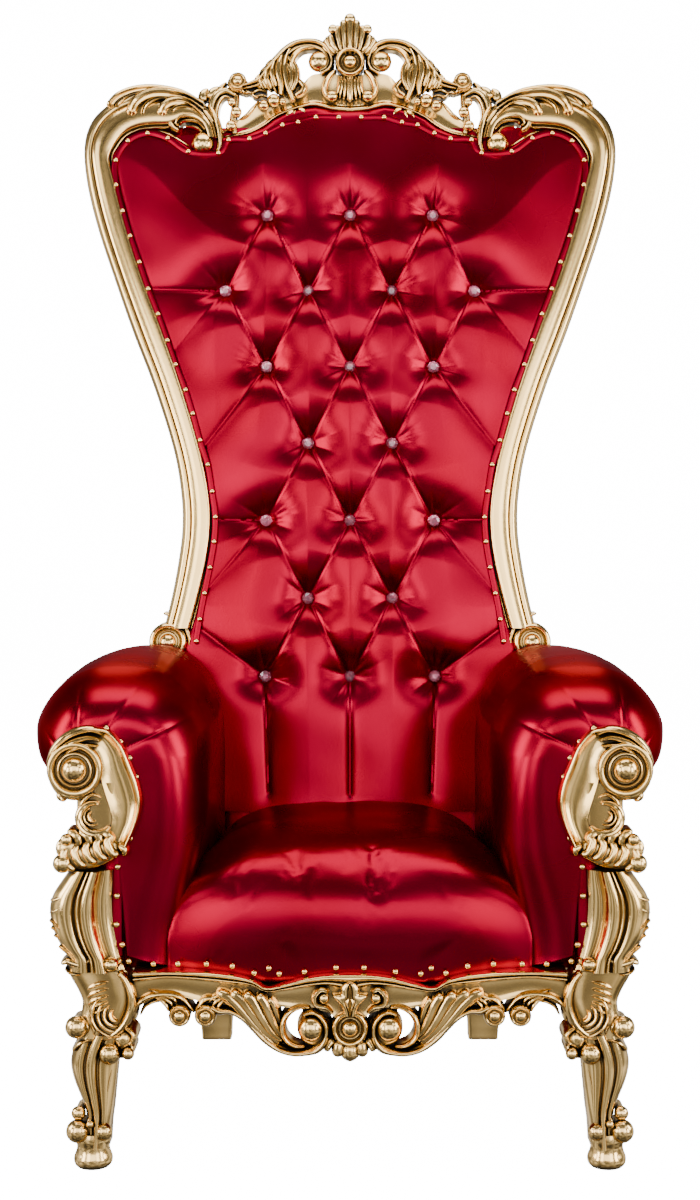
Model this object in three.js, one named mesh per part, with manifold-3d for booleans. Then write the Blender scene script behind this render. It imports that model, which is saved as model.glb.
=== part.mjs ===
// A high-backed upholstered throne with a carved, gilded show frame.
// Millimetres, +Z up, front towards -Y. The carving is described on two sheets: the front face,
// which is upright, and the back frame, which leans. A point of a sheet is (x, z) plus its height h
// in front of the sheet. Only the +X half is described; the -X half is its mirror image.
import * as THREE from 'three';
import { mergeVertices } from 'three/addons/utils/BufferGeometryUtils.js';
import { SimplifyModifier } from 'three/addons/modifiers/SimplifyModifier.js';
import Module from 'manifold-3d';

const wasm = await Module();
wasm.setup();

// ---------- driving dimensions ----------
const GAP = 0.3;               // clearance between touching pieces
const CLEAR = 3;               // clearance between upholstery and the show frame
const FRONT_Y = -410;          // the front sheet: legs, arm fronts and apron
const BACK_Y = 190;            // the back sheet at z = BACK_Z ...
const BACK_Z = 450;
const RAKE = THREE.MathUtils.degToRad(8.5);   // ... which leans back by this much
const FRAME_HALF = 22;         // half the thickness of the back frame
const FACE_BACK = 24;          // how far the arm fronts reach behind the front sheet
const LEG_BACK = 46;           // the same for the front legs
const RAIL_TOP = 288;          // the seat rails
const RAIL_BOTTOM = 236;
const COLLAR_Z = 287;          // joint between the front leg and the arm front
const CREST_JOINT_X = 230;     // joint between the crest rail and the shoulder scrolls
const APRON_JOINT_X = 309;     // joint between the apron and the front legs
const POST_HALF_W = 29;        // back post, across
const POST_HALF_D = 23;        // back post, front to back
const POST_TOP = 676;
const POST_RAIL_X = 262;       // its middle, level with the top of the rails ...
const POST_TOP_X = 290;        // ... and at its top
const RAIL_FRONT_X = 330;      // inner face of a side rail at the front ...
const RAIL_REAR_X = 246;       // ... and at the rear
const REAR_RAIL_HALF = 226;    // half the length of the rear rail
const FOOT_X = 370;            // centre of a front foot
const FOOT_BACK = 15;          // and how far it stands behind the front sheet
const REAR_FOOT = [237, 265];  // centre of a back foot
const SEAT_CROWN = 446;
const SEAT_EDGE = 412;
const SEAT_REAR_Y = 140;
const SEAT_HALF = 259;         // half the seat's width between the arms at the front ...
const SEAT_NARROWS = 40;       // ... and how much less it is at the rear
const SEAT_ROLL_HALF = 315;    // half the width of the rolled front edge
const PAD_BOTTOM = 421;
const PAD_MIDDLE = 1050;       // the level where the back pad is fullest ...
const PAD_HALF = 600;          // ... and how far above and below it the pad is flat again
const PAD_BACK = -5;           // the pad's flat back, off the back sheet
const PAD_EDGE = 10;           // height of the back pad at its edge, off the back sheet
const PAD_CROWN = 46;          // and at its middle
const TUFT = 26;               // depth of a button
const FOLD = 10;               // depth of the folds between buttons
const BUTTON_X = 74;           // half the spacing of the buttons in a row
const BUTTON_Z = 136;          // spacing of the rows
const BUTTON_TOP = 1466;       // top row
const BUTTON_ROWS = [[0, 2], [1, 3], [0, 2], [1], [0, 2], [1], [0, 2]];   // places out from the middle
const BUTTON_R = 10.5;
const BUTTON_LIFT = 12;        // its middle, off the bottom of its pit

const GOLD = { color: 0xd9b36a, roughness: 0.28, metalness: 1 };
const SATIN = { color: 0xc4062c, roughness: 0.42, metalness: 0 };
const CRYSTAL = { color: 0xf2d9dc, roughness: 0.05, metalness: 0 };

// ---------- the two sheets ----------
const backY = (z) => BACK_Y + (z - BACK_Z) * Math.tan(RAKE);
const onBack = (x, z, h) => new THREE.Vector3(x, -h, z);      // upright here; lean() rakes it at the end
const onFront = (x, z, h) => new THREE.Vector3(x, FRONT_Y - h, z);

// ---------- closed shapes ----------
function signedVolume(points, faces) {
  const volume = faces.map(([a, b, c]) => points[a].dot(points[b].clone().cross(points[c])));
  return volume.reduce((sum, v) => sum + v, 0) / 6;
}

function closedGeometry(points, faces) {
  const outward = signedVolume(points, faces) > 0;
  const index = faces.flatMap(([a, b, c]) => (outward ? [a, b, c] : [a, c, b]));
  const geometry = new THREE.BufferGeometry().setFromPoints(points);
  geometry.setIndex(index);
  return geometry;
}

// Skins a list of equal rings of points and closes both ends with fans.
function skin(rings) {
  const n = rings[0].length;
  const points = rings.flat();
  const faces = [];
  for (let i = 0; i < rings.length - 1; i += 1) {
    for (let j = 0; j < n; j += 1) {
      const a = i * n + j;
      const b = i * n + (j + 1) % n;
      faces.push([a, b, b + n], [a, b + n, a + n]);
    }
  }
  for (const [ring, turn] of [[0, true], [rings.length - 1, false]]) {
    const centre = new THREE.Vector3();
    rings[ring].forEach((p) => centre.addScaledVector(p, 1 / n));
    points.push(centre);
    for (let j = 0; j < n; j += 1) {
      const a = ring * n + j;
      const b = ring * n + (j + 1) % n;
      faces.push(turn ? [points.length - 1, b, a] : [points.length - 1, a, b]);
    }
  }
  return closedGeometry(points, faces);
}

const spline = (points) => new THREE.SplineCurve(points.map(([x, z]) => new THREE.Vector2(x, z)));

// A band between two edge lines that have the same number of points. Its section is a list of
// [u, h]: u runs from 0 at the first edge to 1 at the second, and h is the height off the sheet.
function band(place, edgeA, edgeB, section, steps, lift = () => 0) {
  const a = spline(edgeA);
  const b = spline(edgeB);
  const rings = [];
  for (let i = 0; i <= steps; i += 1) {
    const t = i / steps;
    const p = a.getPoint(t);
    const q = b.getPoint(t);
    rings.push(section.map(([u, h]) => place(
      p.x + (q.x - p.x) * u, p.y + (q.y - p.y) * u, h + (h > 0 ? lift(t) : 0))));
  }
  return skin(rings);
}

const even = () => 1;

// A carved strand along a centre line: a ridge that stands on the flat back of its piece.
function strand(place, line, width, height, back, { taper = even, steps = 4 } = {}) {
  const curve = spline(line);
  const rings = [];
  for (let i = 0; i <= steps; i += 1) {
    const t = i / steps;
    const p = curve.getPoint(t);
    const d = curve.getTangent(t);
    const w = width * taper(t);
    const h = height * (0.4 + 0.6 * taper(t));
    const section = [[-1, back], [-1, h / 4], [0, h], [1, h / 4], [1, back]];
    rings.push(section.map(([u, y]) => place(p.x - d.y * w * u, p.y + d.x * w * u, y)));
  }
  return skin(rings);
}

// Carved leaves side by side between a first and a last line: one ridge a leaf, with valleys
// between them that stop short of the tips.
function leaves(place, first, last, count, height, back, { steps = 4, notch = 0.16, valley = 0.45 } = {}) {
  const a = spline(first);
  const b = spline(last);
  const columns = Array.from({ length: 2 * count + 1 }, (_, k) => k);
  const rings = [];
  for (let i = 0; i <= steps; i += 1) {
    const t = i / steps;
    const point = (k, h) => {
      const inner = k % 2 === 0 && k > 0 && k < 2 * count;
      const reach = inner ? t * (1 - notch * t) : t;
      const p = a.getPoint(reach).lerp(b.getPoint(reach), k / (2 * count));
      return place(p.x, p.y, h);
    };
    const fall = 1 - 0.5 * t * t;
    const crest = columns.map((k) => point(k, height * fall * (k % 2 ? 1 : valley)));
    rings.push([point(0, back), ...crest, point(2 * count, back)]);
  }
  return skin(rings);
}

function arc(cx, cz, rx, rz, from, to, count) {
  return Array.from({ length: count }, (_, k) => {
    const a = THREE.MathUtils.degToRad(from + (to - from) * k / (count - 1));
    return [cx + rx * Math.cos(a), cz + rz * Math.sin(a)];
  });
}

// A turned shape: its profile is [radius, height off the sheet], starting and ending on the axis.
function turned(place, cx, cz, profile, sides) {
  const lathe = new THREE.LatheGeometry(profile.map(([r, h]) => new THREE.Vector2(r, h)), sides);
  const position = lathe.getAttribute('position');
  for (let i = 0; i < position.count; i += 1) {
    const p = place(cx + position.getX(i), cz + position.getZ(i), position.getY(i));
    position.setXYZ(i, p.x, p.y, p.z);
  }
  return lathe;
}

// A round knob that stands on the flat back of its piece.
function knob(place, cx, cz, r, top, back, sides = 6) {
  const profile = [[0, back], [r, back], [r, top - r * 0.7], [r * 0.6, top - r * 0.12], [0, top]];
  return turned(place, cx, cz, profile, sides);
}

// ---------- solids ----------
function cleaned(geometry) {
  const copy = geometry.index ? geometry.clone() : geometry;
  copy.deleteAttribute('normal');
  copy.deleteAttribute('uv');
  return mergeVertices(copy, 1e-3);
}

function solid(geometry) {
  const merged = cleaned(geometry);
  const position = merged.getAttribute('position');
  const index = Array.from(merged.index.array);
  const pointAt = (_, i) => new THREE.Vector3().fromBufferAttribute(position, i);
  const points = Array.from({ length: position.count }, pointAt);
  let faces = [];
  for (let i = 0; i < index.length; i += 3) faces.push(index.slice(i, i + 3));
  faces = faces.filter(([a, b, c]) => a !== b && b !== c && a !== c);
  if (signedVolume(points, faces) < 0) faces = faces.map(([a, b, c]) => [a, c, b]);
  return new wasm.Manifold(new wasm.Mesh({
    numProp: 3,
    vertProperties: new Float32Array(position.array),
    triVerts: new Uint32Array(faces.flat()),
  }));
}

const join = (geometries) => geometries.map(solid).reduce((sum, piece) => sum.add(piece));

function mirrored(geometry) {
  const copy = geometry.clone();
  copy.scale(-1, 1, 1);
  return copy;
}

const bothSides = (geometries) => [...geometries, ...geometries.map(mirrored)];

function slab(x0, x1, y0, y1, z0, z1) {
  const box = new THREE.BoxGeometry(x1 - x0, y1 - y0, z1 - z0);
  box.translate((x0 + x1) / 2, (y0 + y1) / 2, (z0 + z1) / 2);
  return box;
}

const FAR = 3000;
const above = (z) => solid(slab(-FAR, FAR, -FAR, FAR, z, FAR));
const below = (z) => solid(slab(-FAR, FAR, -FAR, FAR, -FAR, z));
const within = (x) => solid(slab(-x, x, -FAR, FAR, -FAR, FAR));

function geometryOf(manifold) {
  const mesh = manifold.getMesh();
  const geometry = new THREE.BufferGeometry();
  geometry.setAttribute('position', new THREE.BufferAttribute(mesh.vertProperties, 3));
  geometry.setIndex(new THREE.BufferAttribute(mesh.triVerts, 1));
  return geometry;
}

// Rakes what was made on the upright back sheet.
function lean(shape) {
  const geometry = shape.isBufferGeometry ? shape : geometryOf(shape);
  const position = geometry.getAttribute('position');
  for (let i = 0; i < position.count; i += 1) position.setY(i, position.getY(i) + backY(position.getZ(i)));
  return geometry;
}

// Drops vertices where the surface hardly bends, down to about the number of triangles asked for.
async function lightened(shape, triangles) {
  const geometry = geometryOf(shape);
  const spare = 1 - triangles / (geometry.index.count / 3);
  const vertices = geometry.getAttribute('position').count;
  const light = await new SimplifyModifier().modify(geometry, vertices * spare);
  return geometryOf(solid(light));
}

const model = new THREE.Group();

function add(name, shape, finish) {
  const geometry = shape.isBufferGeometry ? shape : geometryOf(shape);
  const mesh = new THREE.Mesh(geometry, new THREE.MeshStandardMaterial(finish));
  mesh.name = name;
  model.add(mesh);
}

function addPair(name, shape, finish) {
  const right = shape.isBufferGeometry ? shape : geometryOf(shape);
  const left = geometryOf(solid(mirrored(right)));
  add(`${name}_right`, right, finish);
  add(`${name}_left`, left, finish);
}

// ---------- back frame: stile and shoulder ----------
const STILE_OUTER = [[326, 735], [314, 785], [303, 845], [296, 905], [298, 965], [312, 1045],
  [347, 1155], [386, 1255], [420, 1350], [452, 1445], [472, 1525], [478, 1590], [467, 1635],
  [440, 1666], [401, 1687], [357, 1697], [318, 1692], [286, 1680], [260, 1660], [243, 1634], [236, 1606]];
const STILE_INNER = [[275, 735], [262, 785], [248, 845], [240, 905], [242, 965], [258, 1045],
  [290, 1155], [325, 1255], [362, 1350], [393, 1445], [413, 1520], [424, 1565], [414, 1590],
  [398, 1609], [376, 1619], [352, 1622], [324, 1624], [302, 1636], [280, 1637], [263, 1626], [256, 1606]];
const STILE_STEPS = 20;
const SHOULDER_Z = 1560;       // above this the frame turns in towards the crest rail
const STILE_SECTION = [[0, -FRAME_HALF], [0, 2], [0.13, 20], [0.26, 14], [0.5, 24], [0.78, 14],
  [0.88, 18], [1, 8], [1, -FRAME_HALF]];

function stileAndShoulder() {
  const back = -FRAME_HALF;
  return join([
    band(onBack, STILE_OUTER, STILE_INNER, STILE_SECTION, STILE_STEPS),
    turned(onBack, 318, 712, [[0, back], [33, back], [33, 10], [28, 19], [20, 11], [14, 13], [0, 26]],
      10),
    knob(onBack, 264, 1598, 19, 24, back, 8),
    strand(onBack, [[246, 1618], [239, 1592], [256, 1578]], 6, 14, back, { steps: 3 }),
    strand(onBack, [[360, 1624], [318, 1613], [277, 1587]], 5, 12, back, { steps: 3 }),
    leaves(onBack, [[434, 1664], [412, 1674], [398, 1664], [393, 1646]],
      [[352, 1692], [336, 1684], [322, 1664], [317, 1632]], 4, 34, back, { notch: 0.3, valley: 0.7 }),
  ]);
}

// ---------- back frame: crest rail ----------
const CREST_BACK = -20;
const CREST_SECTION = [[0, CREST_BACK], [0, 4], [0.08, 13], [0.2, 4], [1, 8], [1, CREST_BACK]];

function crestRail() {
  const back = CREST_BACK;
  const half = [
    band(onBack, [[-6, 1652], [30, 1655], [62, 1663], [88, 1660], [112, 1653], [134, 1642], [156, 1625],
      [184, 1612], [232, 1606]], [[-6, 1718], [30, 1724], [66, 1722], [84, 1700], [108, 1676], [140, 1672],
      [166, 1668], [192, 1648], [232, 1618]], CREST_SECTION, 8),
    strand(onBack, [[204, 1700], [164, 1717], [126, 1761], [77, 1785], [38, 1764], [40, 1734], [62, 1724]],
      10, 18, back, { taper: (t) => 1 - 0.35 * t, steps: 10 }),
    strand(onBack, arc(74, 1746, 32, 32, 82, -72, 4), 9, 14, back, { steps: 4 }),
    leaves(onBack, [[104, 1770], [110, 1740], [106, 1706], [98, 1674]],
      [[168, 1716], [166, 1710], [160, 1702], [150, 1694]], 4, 24, back, { steps: 3 }),
    leaves(onBack, [[112, 1728], [98, 1733], [84, 1738]], [[112, 1690], [98, 1687], [82, 1693]], 2, 18,
      back, { steps: 2 }),
    leaves(onBack, [[196, 1676], [206, 1694], [218, 1712]], [[236, 1668], [244, 1680], [246, 1700]], 2, 12,
      back, { steps: 2, notch: 0.35 }),
    strand(onBack, [[206, 1690], [232, 1680], [238, 1640], [226, 1608]], 6, 10, back, { steps: 3 }),
    strand(onBack, [[192, 1694], [206, 1674], [208, 1616]], 6, 14, back, { steps: 2 }),
    strand(onBack, [[174, 1704], [172, 1684], [150, 1664]], 6, 12, back, { steps: 2 }),
    knob(onBack, 56, 1746, 19, 22, back, 8),
    knob(onBack, 200, 1718, 15, 15, back, 7),
    knob(onBack, 212, 1628, 10, 18, back),
    knob(onBack, 142, 1672, 14, 20, back),
    leaves(onBack, [[120, 1656], [116, 1642]], [[74, 1664], [78, 1648]], 3, 18, back,
      { steps: 1, notch: 0 }),
    leaves(onBack, [[16, 1758], [26, 1772], [44, 1790]], [[-2, 1758], [-2, 1790], [-2, 1836]], 3, 18, back,
      { steps: 2, notch: 0.2 }),
    strand(onBack, [[24, 1724], [40, 1698], [30, 1680]], 6, 20, back, { steps: 2 }),
    leaves(onBack, [[18, 1724], [22, 1684]], [[-2, 1724], [-2, 1676]], 2, 18, back, { steps: 1, notch: 0 }),
  ];
  const ring = [[0, back], [27, back], [27, 14], [22, 22], [15, 13], [10, 22], [0, 26]];
  return join([turned(onBack, 0, 1744, ring, 10), ...bothSides(half)]);
}

// ---------- front: arm front and post ----------
function armFront() {
  const back = -FACE_BACK;
  return join([
    turned(onFront, 390, 577, [[0, back], [40, back], [40, 4], [36, 12], [28, 4], [23, 11], [18, 8],
      [12, 17], [0, 20]], 12),
    band(onFront, [[372, 636], [340, 632], [322, 612], [309, 582], [299, 555], [296, 528], [302, 498],
      [316, 462]], [[384, 606], [362, 604], [354, 585], [352, 562], [346, 540], [340, 520], [338, 500],
      [350, 470]],
      [[0, back], [0, 4], [0.12, 9], [0.28, 3], [0.7, 6], [1, 2], [1, back]], 7),
    leaves(onFront, [[348, 634], [382, 637], [415, 613], [430, 580]],
      [[352, 612], [384, 613], [402, 602], [410, 580]], 2, 16, back, { steps: 5 }),
    strand(onFront, [[426, 560], [402, 540], [366, 548]], 7, 12, back, { steps: 3 }),
    band(onFront, [[385, 545], [385, 470]], [[356, 545], [356, 470]],
      [[0, back], [0, 2], [1, 2], [1, back]], 1),
    strand(onFront, arc(362, 509, 19, 31, 118, -140, 6), 7, 14, back, { steps: 6 }),
    knob(onFront, 364, 511, 12, 12, back),
    leaves(onFront, [[404, 490], [384, 480], [340, 486]], [[404, 468], [384, 460], [336, 464]], 1, 15,
      back, { steps: 2 }),
    knob(onFront, 408, 443, 13, 14, back, 7),
    leaves(onFront, [[404, 464], [400, 440], [388, 420]], [[322, 478], [332, 458], [334, 436]], 4, 17,
      back, { steps: 2, notch: 0 }),
    band(onFront, [[404, 430], [424, 396], [428, 364], [420, 330], [402, 308], [408, 287]],
      [[338, 430], [340, 396], [340, 364], [335, 330], [328, 308], [318, 287]],
      [[0, back], [0, -4], [0.14, 10], [0.38, 8], [0.46, 16], [0.7, 17], [0.78, 8], [1, -2], [1, back]],
      6),
    strand(onFront, [[428, 350], [398, 332], [366, 300]], 6, 17, back, { steps: 2 }),
    strand(onFront, [[426, 384], [390, 412]], 4, 16, back, { steps: 1 }),
    leaves(onFront, [[410, 306], [408, 287]], [[330, 306], [330, 287]], 4, 17, back, { steps: 1, notch: 0 }),
  ]).intersect(above(COLLAR_Z + GAP / 2));
}

// ---------- front: leg ----------
function frontLeg() {
  const back = -LEG_BACK;
  const profile = [[0, 0], [23, 0], [28, 8], [28, 16], [23, 30], [23, 46], [0, 46]];
  const pad = new THREE.LatheGeometry(profile.map(([r, z]) => new THREE.Vector2(r, z)), 12);
  pad.rotateX(Math.PI / 2);
  pad.translate(FOOT_X, FRONT_Y + FOOT_BACK, 0);
  return join([
    band(onFront, [[408, 292], [392, 266], [384, 246], [386, 226], [390, 188]],
      [[318, 292], [312, 266], [312, 246], [318, 226], [330, 188]],
      [[0, back], [0, -4], [0.3, 2], [0.62, 3], [0.66, 10], [0.84, 10], [0.92, 4], [1, 6], [1, back]], 5),
    leaves(onFront, [[374, 284], [376, 228]], [[342, 290], [344, 232]], 2, 9, back, { steps: 1 }),
    leaves(onFront, [[372, 226], [370, 204], [342, 188]], [[336, 232], [340, 222], [322, 214]], 3, 14, back,
      { steps: 3, notch: 0 }),
    knob(onFront, 389, 206, 15, 13, back, 7),
    strand(onFront, [[330, 204], [313, 190], [334, 164]], 8, 8, back, { steps: 3 }),
    band(onFront, [[386, 194], [402, 158], [398, 127], [384, 98], [380, 40]],
      [[322, 194], [334, 158], [338, 127], [340, 98], [346, 40]],
      [[0, back], [0, -6], [0.3, 5], [0.4, 9], [0.56, 9], [0.64, 4], [0.92, 0], [1, -10], [1, back]], 5),
    knob(onFront, 342, 163, 13, 14, back, 7),
    knob(onFront, 390, 56, 17, 13, -40, 7),
    knob(onFront, 353, 56, 14, 11, -40, 7),
    pad,
  ]).intersect(below(COLLAR_Z - GAP / 2));
}

// ---------- front: apron ----------
function apron() {
  const back = -30;
  const drill = turned(onFront, 146, 234, [[0, -60], [6, -60], [6, 60], [0, 60]], 6);
  const half = [
    band(onFront, [[-6, 284], [30, 283], [60, 279], [90, 271], [122, 265], [140, 276], [170, 283],
      [210, 287], [260, RAIL_TOP], [312, RAIL_TOP]], [[-6, 190], [30, 226], [60, 230], [90, 234], [122, 236],
      [140, 236], [170, 236], [208, 240], [262, 250], [312, 226]],
      [[0, back], [0, 6], [0.16, 8], [0.28, -2], [1, -2], [1, back]], 11),
    strand(onFront, [[192, 234], [156, 214], [118, 180], [80, 168], [46, 174], [30, 198], [38, 226],
      [60, 236]], 8, 12, back, { steps: 11 }),
    strand(onFront, arc(70, 206, 30, 34, 100, -110, 6), 8, 13, back, { steps: 6 }),
    leaves(onFront, [[112, 250], [116, 216], [98, 180]], [[194, 250], [146, 214], [112, 178]], 4, 16, back,
      { steps: 4, notch: 0 }),
    strand(onFront, [[312, 214], [298, 242], [256, 253], [226, 228]], 6, 9, back, { steps: 6 }),
    strand(onFront, [[223, 222], [203, 246], [184, 234]], 6, 9, back, { steps: 3 }),
    knob(onFront, 208, 223, 17, 10, back, 8),
    knob(onFront, 243, 225, 15, 10, back, 7),
    knob(onFront, 56, 206, 19, 18, back, 8),
    leaves(onFront, [[16, 224], [26, 240], [42, 252]], [[-2, 224], [-2, 248], [-2, 273]], 3, 16, back,
      { steps: 2 }),
    leaves(onFront, [[22, 196], [32, 170]], [[-2, 190], [-2, 156]], 3, 13, back, { steps: 1 }),
  ];
  const ring = [[0, back], [26, back], [26, 8], [21, 15], [15, 7], [10, 14], [0, 17]];
  const boss = turned(onFront, 0, 206, ring, 10);
  const drills = solid(drill).add(solid(mirrored(drill)));
  return join([boss, ...bothSides(half)]).subtract(drills).intersect(within(APRON_JOINT_X));
}

// ---------- upholstery ----------
// The opening of the back frame, from the bottom of one stile to the middle of the crest rail.
function openingLine(bottom) {
  const inner = spline(STILE_INNER);
  const line = [...bottom];
  for (let i = 0; i <= STILE_STEPS * 0.7; i += 1) {
    const p = inner.getPoint(i / STILE_STEPS);
    line.push([p.x - CLEAR, p.y - (p.y > SHOULDER_Z ? CLEAR : 0)]);
  }
  const underShoulder = [[352, 1614], [320, 1603], [288, 1580], [262, 1568], [236, 1574], [228, 1599]];
  const underCrest = [[184, 1608], [156, 1621], [130, 1636], [116, 1639], [76, 1645], [62, 1653],
    [30, 1648]];
  return [...line, ...underShoulder, ...underCrest];
}

function openingPrism(bottom, from, to) {
  const right = openingLine(bottom);
  const left = right.map(([x, z]) => [-x, z]).reverse();
  const shape = new THREE.Shape([...right, ...left].map(([x, z]) => new THREE.Vector2(x, z)));
  const prism = new THREE.ExtrudeGeometry(shape, { depth: to - from, bevelEnabled: false });
  prism.translate(0, 0, from);
  const position = prism.getAttribute('position');
  for (let i = 0; i < position.count; i += 1) {
    const p = onBack(position.getX(i), position.getY(i), position.getZ(i));
    position.setXYZ(i, p.x, p.y, p.z);
  }
  return prism;
}

function halfOpening(z) {
  const next = STILE_INNER.findIndex(([, height]) => height >= z);
  if (next <= 0) return STILE_INNER[0][0];
  const [x0, z0] = STILE_INNER[next - 1];
  const [x1, z1] = STILE_INNER[next];
  return x0 + (x1 - x0) * (z - z0) / (z1 - z0);
}

const buttonPlaces = BUTTON_ROWS.flatMap((row, k) => row.flatMap((i) => (i ? [-i, i] : [0]))
  .sort((p, q) => p - q).map((i, n) => ({ row: k, n, x: i * BUTTON_X, z: BUTTON_TOP - k * BUTTON_Z })));

function padCrown(x, z) {
  const across = Math.min(1, Math.abs(x) / halfOpening(Math.min(z, SHOULDER_Z)));
  const up = Math.min(1, Math.abs(z - PAD_MIDDLE) / PAD_HALF);
  return PAD_EDGE + (PAD_CROWN - PAD_EDGE) * (1 - across ** 4) * (1 - up ** 6);
}

// The pad's face on a lattice of half button spacings: pits at the buttons, folds halfway between.
function padHeight(x, z) {
  const depth = buttonPlaces.reduce((deepest, button) => {
    const dx = Math.abs(x - button.x) / BUTTON_X;
    const dz = Math.abs(z - button.z) / BUTTON_Z;
    if (dx < 0.1 && dz < 0.1) return Math.max(deepest, TUFT);
    return Math.abs(dx - 0.5) < 0.1 && Math.abs(dz - 0.5) < 0.1 ? Math.max(deepest, FOLD) : deepest;
  }, 0);
  return padCrown(x, z) - depth;
}

// A closed block over a lattice, flat behind at height back, with the diagonals along the folds.
function latticeBlock(place, xs, zs, height, back) {
  const [nx, nz] = [xs.length, zs.length];
  const points = zs.flatMap((z) => xs.map((x) => place(x, z, height(x, z))));
  const faces = [];
  for (let j = 0; j < nz - 1; j += 1) {
    for (let i = 0; i < nx - 1; i += 1) {
      const [a, b, c, d] = [j * nx + i, j * nx + i + 1, (j + 1) * nx + i + 1, (j + 1) * nx + i];
      const rising = height(xs[i], zs[j]) + height(xs[i + 1], zs[j + 1])
        < height(xs[i + 1], zs[j]) + height(xs[i], zs[j + 1]);
      faces.push(...(rising ? [[a, b, c], [a, c, d]] : [[a, b, d], [b, c, d]]));
    }
  }
  const border = [];
  for (let i = 0; i < nx - 1; i += 1) border.push([i, 0]);
  for (let j = 0; j < nz - 1; j += 1) border.push([nx - 1, j]);
  for (let i = nx - 1; i > 0; i -= 1) border.push([i, nz - 1]);
  for (let j = nz - 1; j > 0; j -= 1) border.push([0, j]);
  const middle = points.length;
  points.push(place((xs[0] + xs[nx - 1]) / 2, (zs[0] + zs[nz - 1]) / 2, back));
  border.forEach(([i, j]) => points.push(place(xs[i], zs[j], back)));
  border.forEach(([i, j], k) => {
    const next = (k + 1) % border.length;
    const [front, frontNext] = [j * nx + i, border[next][1] * nx + border[next][0]];
    const [rear, rearNext] = [middle + 1 + k, middle + 1 + next];
    faces.push([rear, rearNext, frontNext], [rear, frontNext, front], [middle, rearNext, rear]);
  });
  return closedGeometry(points, faces);
}

function steps(from, to, step) {
  return Array.from({ length: Math.round((to - from) / step) + 1 }, (_, k) => from + k * step);
}

function backPad() {
  const xs = steps(-6 * BUTTON_X, 6 * BUTTON_X, BUTTON_X / 2);
  const zs = steps(BUTTON_TOP - 8 * BUTTON_Z, BUTTON_TOP + 1.5 * BUTTON_Z, BUTTON_Z / 2);
  const face = solid(latticeBlock(onBack, xs, zs, padHeight, PAD_BACK));
  const outline = openingPrism([[238, PAD_BOTTOM], [257, POST_TOP - 2]], PAD_BACK, 2 * PAD_CROWN);
  return face.intersect(solid(outline));
}

function outerBack() {
  const bottom = [[231, RAIL_TOP + GAP], [257, POST_TOP - 2]];
  return solid(openingPrism(bottom, 2 - FRAME_HALF, PAD_BACK - GAP));
}

// The seat is a crowned block that narrows to the rear, with a rolled front over the apron.
function seat() {
  const bottom = RAIL_TOP + GAP;
  const back = FRONT_Y + FACE_BACK;
  const halfAt = (y) => SEAT_HALF - SEAT_NARROWS * (y - FRONT_Y) / (SEAT_REAR_Y - FRONT_Y);
  const topAt = (u, y) => {
    const rear = 1 - Math.max(0, (y + 40) / (SEAT_REAR_Y + 40)) ** 4;
    return SEAT_EDGE + (SEAT_CROWN - SEAT_EDGE) * (1 - u ** 4) * rear;
  };
  const stations = [back - 10, -300, -200, -90, 20, 90, SEAT_REAR_Y];
  const body = skin(stations.map((y) => {
    const half = halfAt(y);
    const over = [1, 0.85, 0.5, 0, -0.5, -0.85, -1].map((u) => new THREE.Vector3(u * half, y, topAt(u, y)));
    return [new THREE.Vector3(-half, y, bottom), new THREE.Vector3(half, y, bottom), ...over];
  }));
  const profile = [[0, bottom], [12, bottom], [18, 330], [18, 390], [13, 424], [4, 438], [0, 440]];
  const roll = skin([-1, -0.8, -0.4, 0, 0.4, 0.8, 1].map((u) => {
    const bulge = 1 - 0.5 * u ** 4;
    return profile.map(([out, z]) => new THREE.Vector3(u * SEAT_ROLL_HALF, back - GAP - out * bulge, z));
  }));
  return join([body, roll]);
}

// The outline of an arm pad at the front and at the rear, from the inner foot over the roll.
const ARM_FRONT = [[262, 292], [260, 440], [258, 530], [264, 600], [282, 655], [312, 688], [345, 698],
  [385, 693], [420, 670], [446, 630], [450, 590], [436, 560], [404, 547], [382, 535], [380, 400],
  [379, 292]];
const ARM_REAR = [[222, 292], [226, 440], [232, 530], [243, 600], [262, 655], [290, 688], [322, 698],
  [356, 692], [388, 666], [412, 628], [416, 590], [404, 560], [372, 547], [340, 530], [308, 400],
  [290, 292]];

const ARM_ROLL = [360, 600, 540];   // middle of the roll at the front, and where the roll starts

function armPad() {
  const [rollX, rollZ, rollBottom] = ARM_ROLL;
  const start = FRONT_Y + FACE_BACK + GAP;
  const ring = (t, inset) => ARM_FRONT.map(([x, z], i) => {
    const end = backY(z) - FRAME_HALF - CLEAR - 2;
    const across = x + (ARM_REAR[i][0] - x) * t;
    const upper = z > rollBottom ? inset : 0;
    const y = start + (end - start) * t;
    return new THREE.Vector3(across + (rollX - across) * upper, y, z + (rollZ - z) * upper);
  });
  return skin([ring(0, 0.1), ring(0.03, 0), ring(0.35, 0), ring(0.7, 0), ring(1, 0)]);
}

function button({ x, z }) {
  const crystal = new THREE.IcosahedronGeometry(BUTTON_R, 0);
  crystal.scale(1, 0.65, 1);
  const p = onBack(x, z, padHeight(x, z) + BUTTON_LIFT);
  crystal.translate(p.x, p.y, p.z);
  return geometryOf(solid(crystal));
}

// ---------- rails and back posts ----------
const ringAt = (x, y, z, w, d) => [[-w, -d], [w, -d], [w, d], [-w, d]]
  .map(([dx, dy]) => new THREE.Vector3(x + dx, y + dy, z));

function backPost() {
  const [x, y] = REAR_FOOT;
  return skin([
    ringAt(x, y, 0, POST_HALF_W - 3, POST_HALF_D),
    ringAt(x + 1, y - 12, 60, POST_HALF_W, POST_HALF_D),
    ringAt(POST_RAIL_X, backY(RAIL_TOP), RAIL_TOP, POST_HALF_W, POST_HALF_D),
    ringAt(POST_TOP_X, backY(POST_TOP), POST_TOP, POST_HALF_W, POST_HALF_D),
  ]);
}

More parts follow.
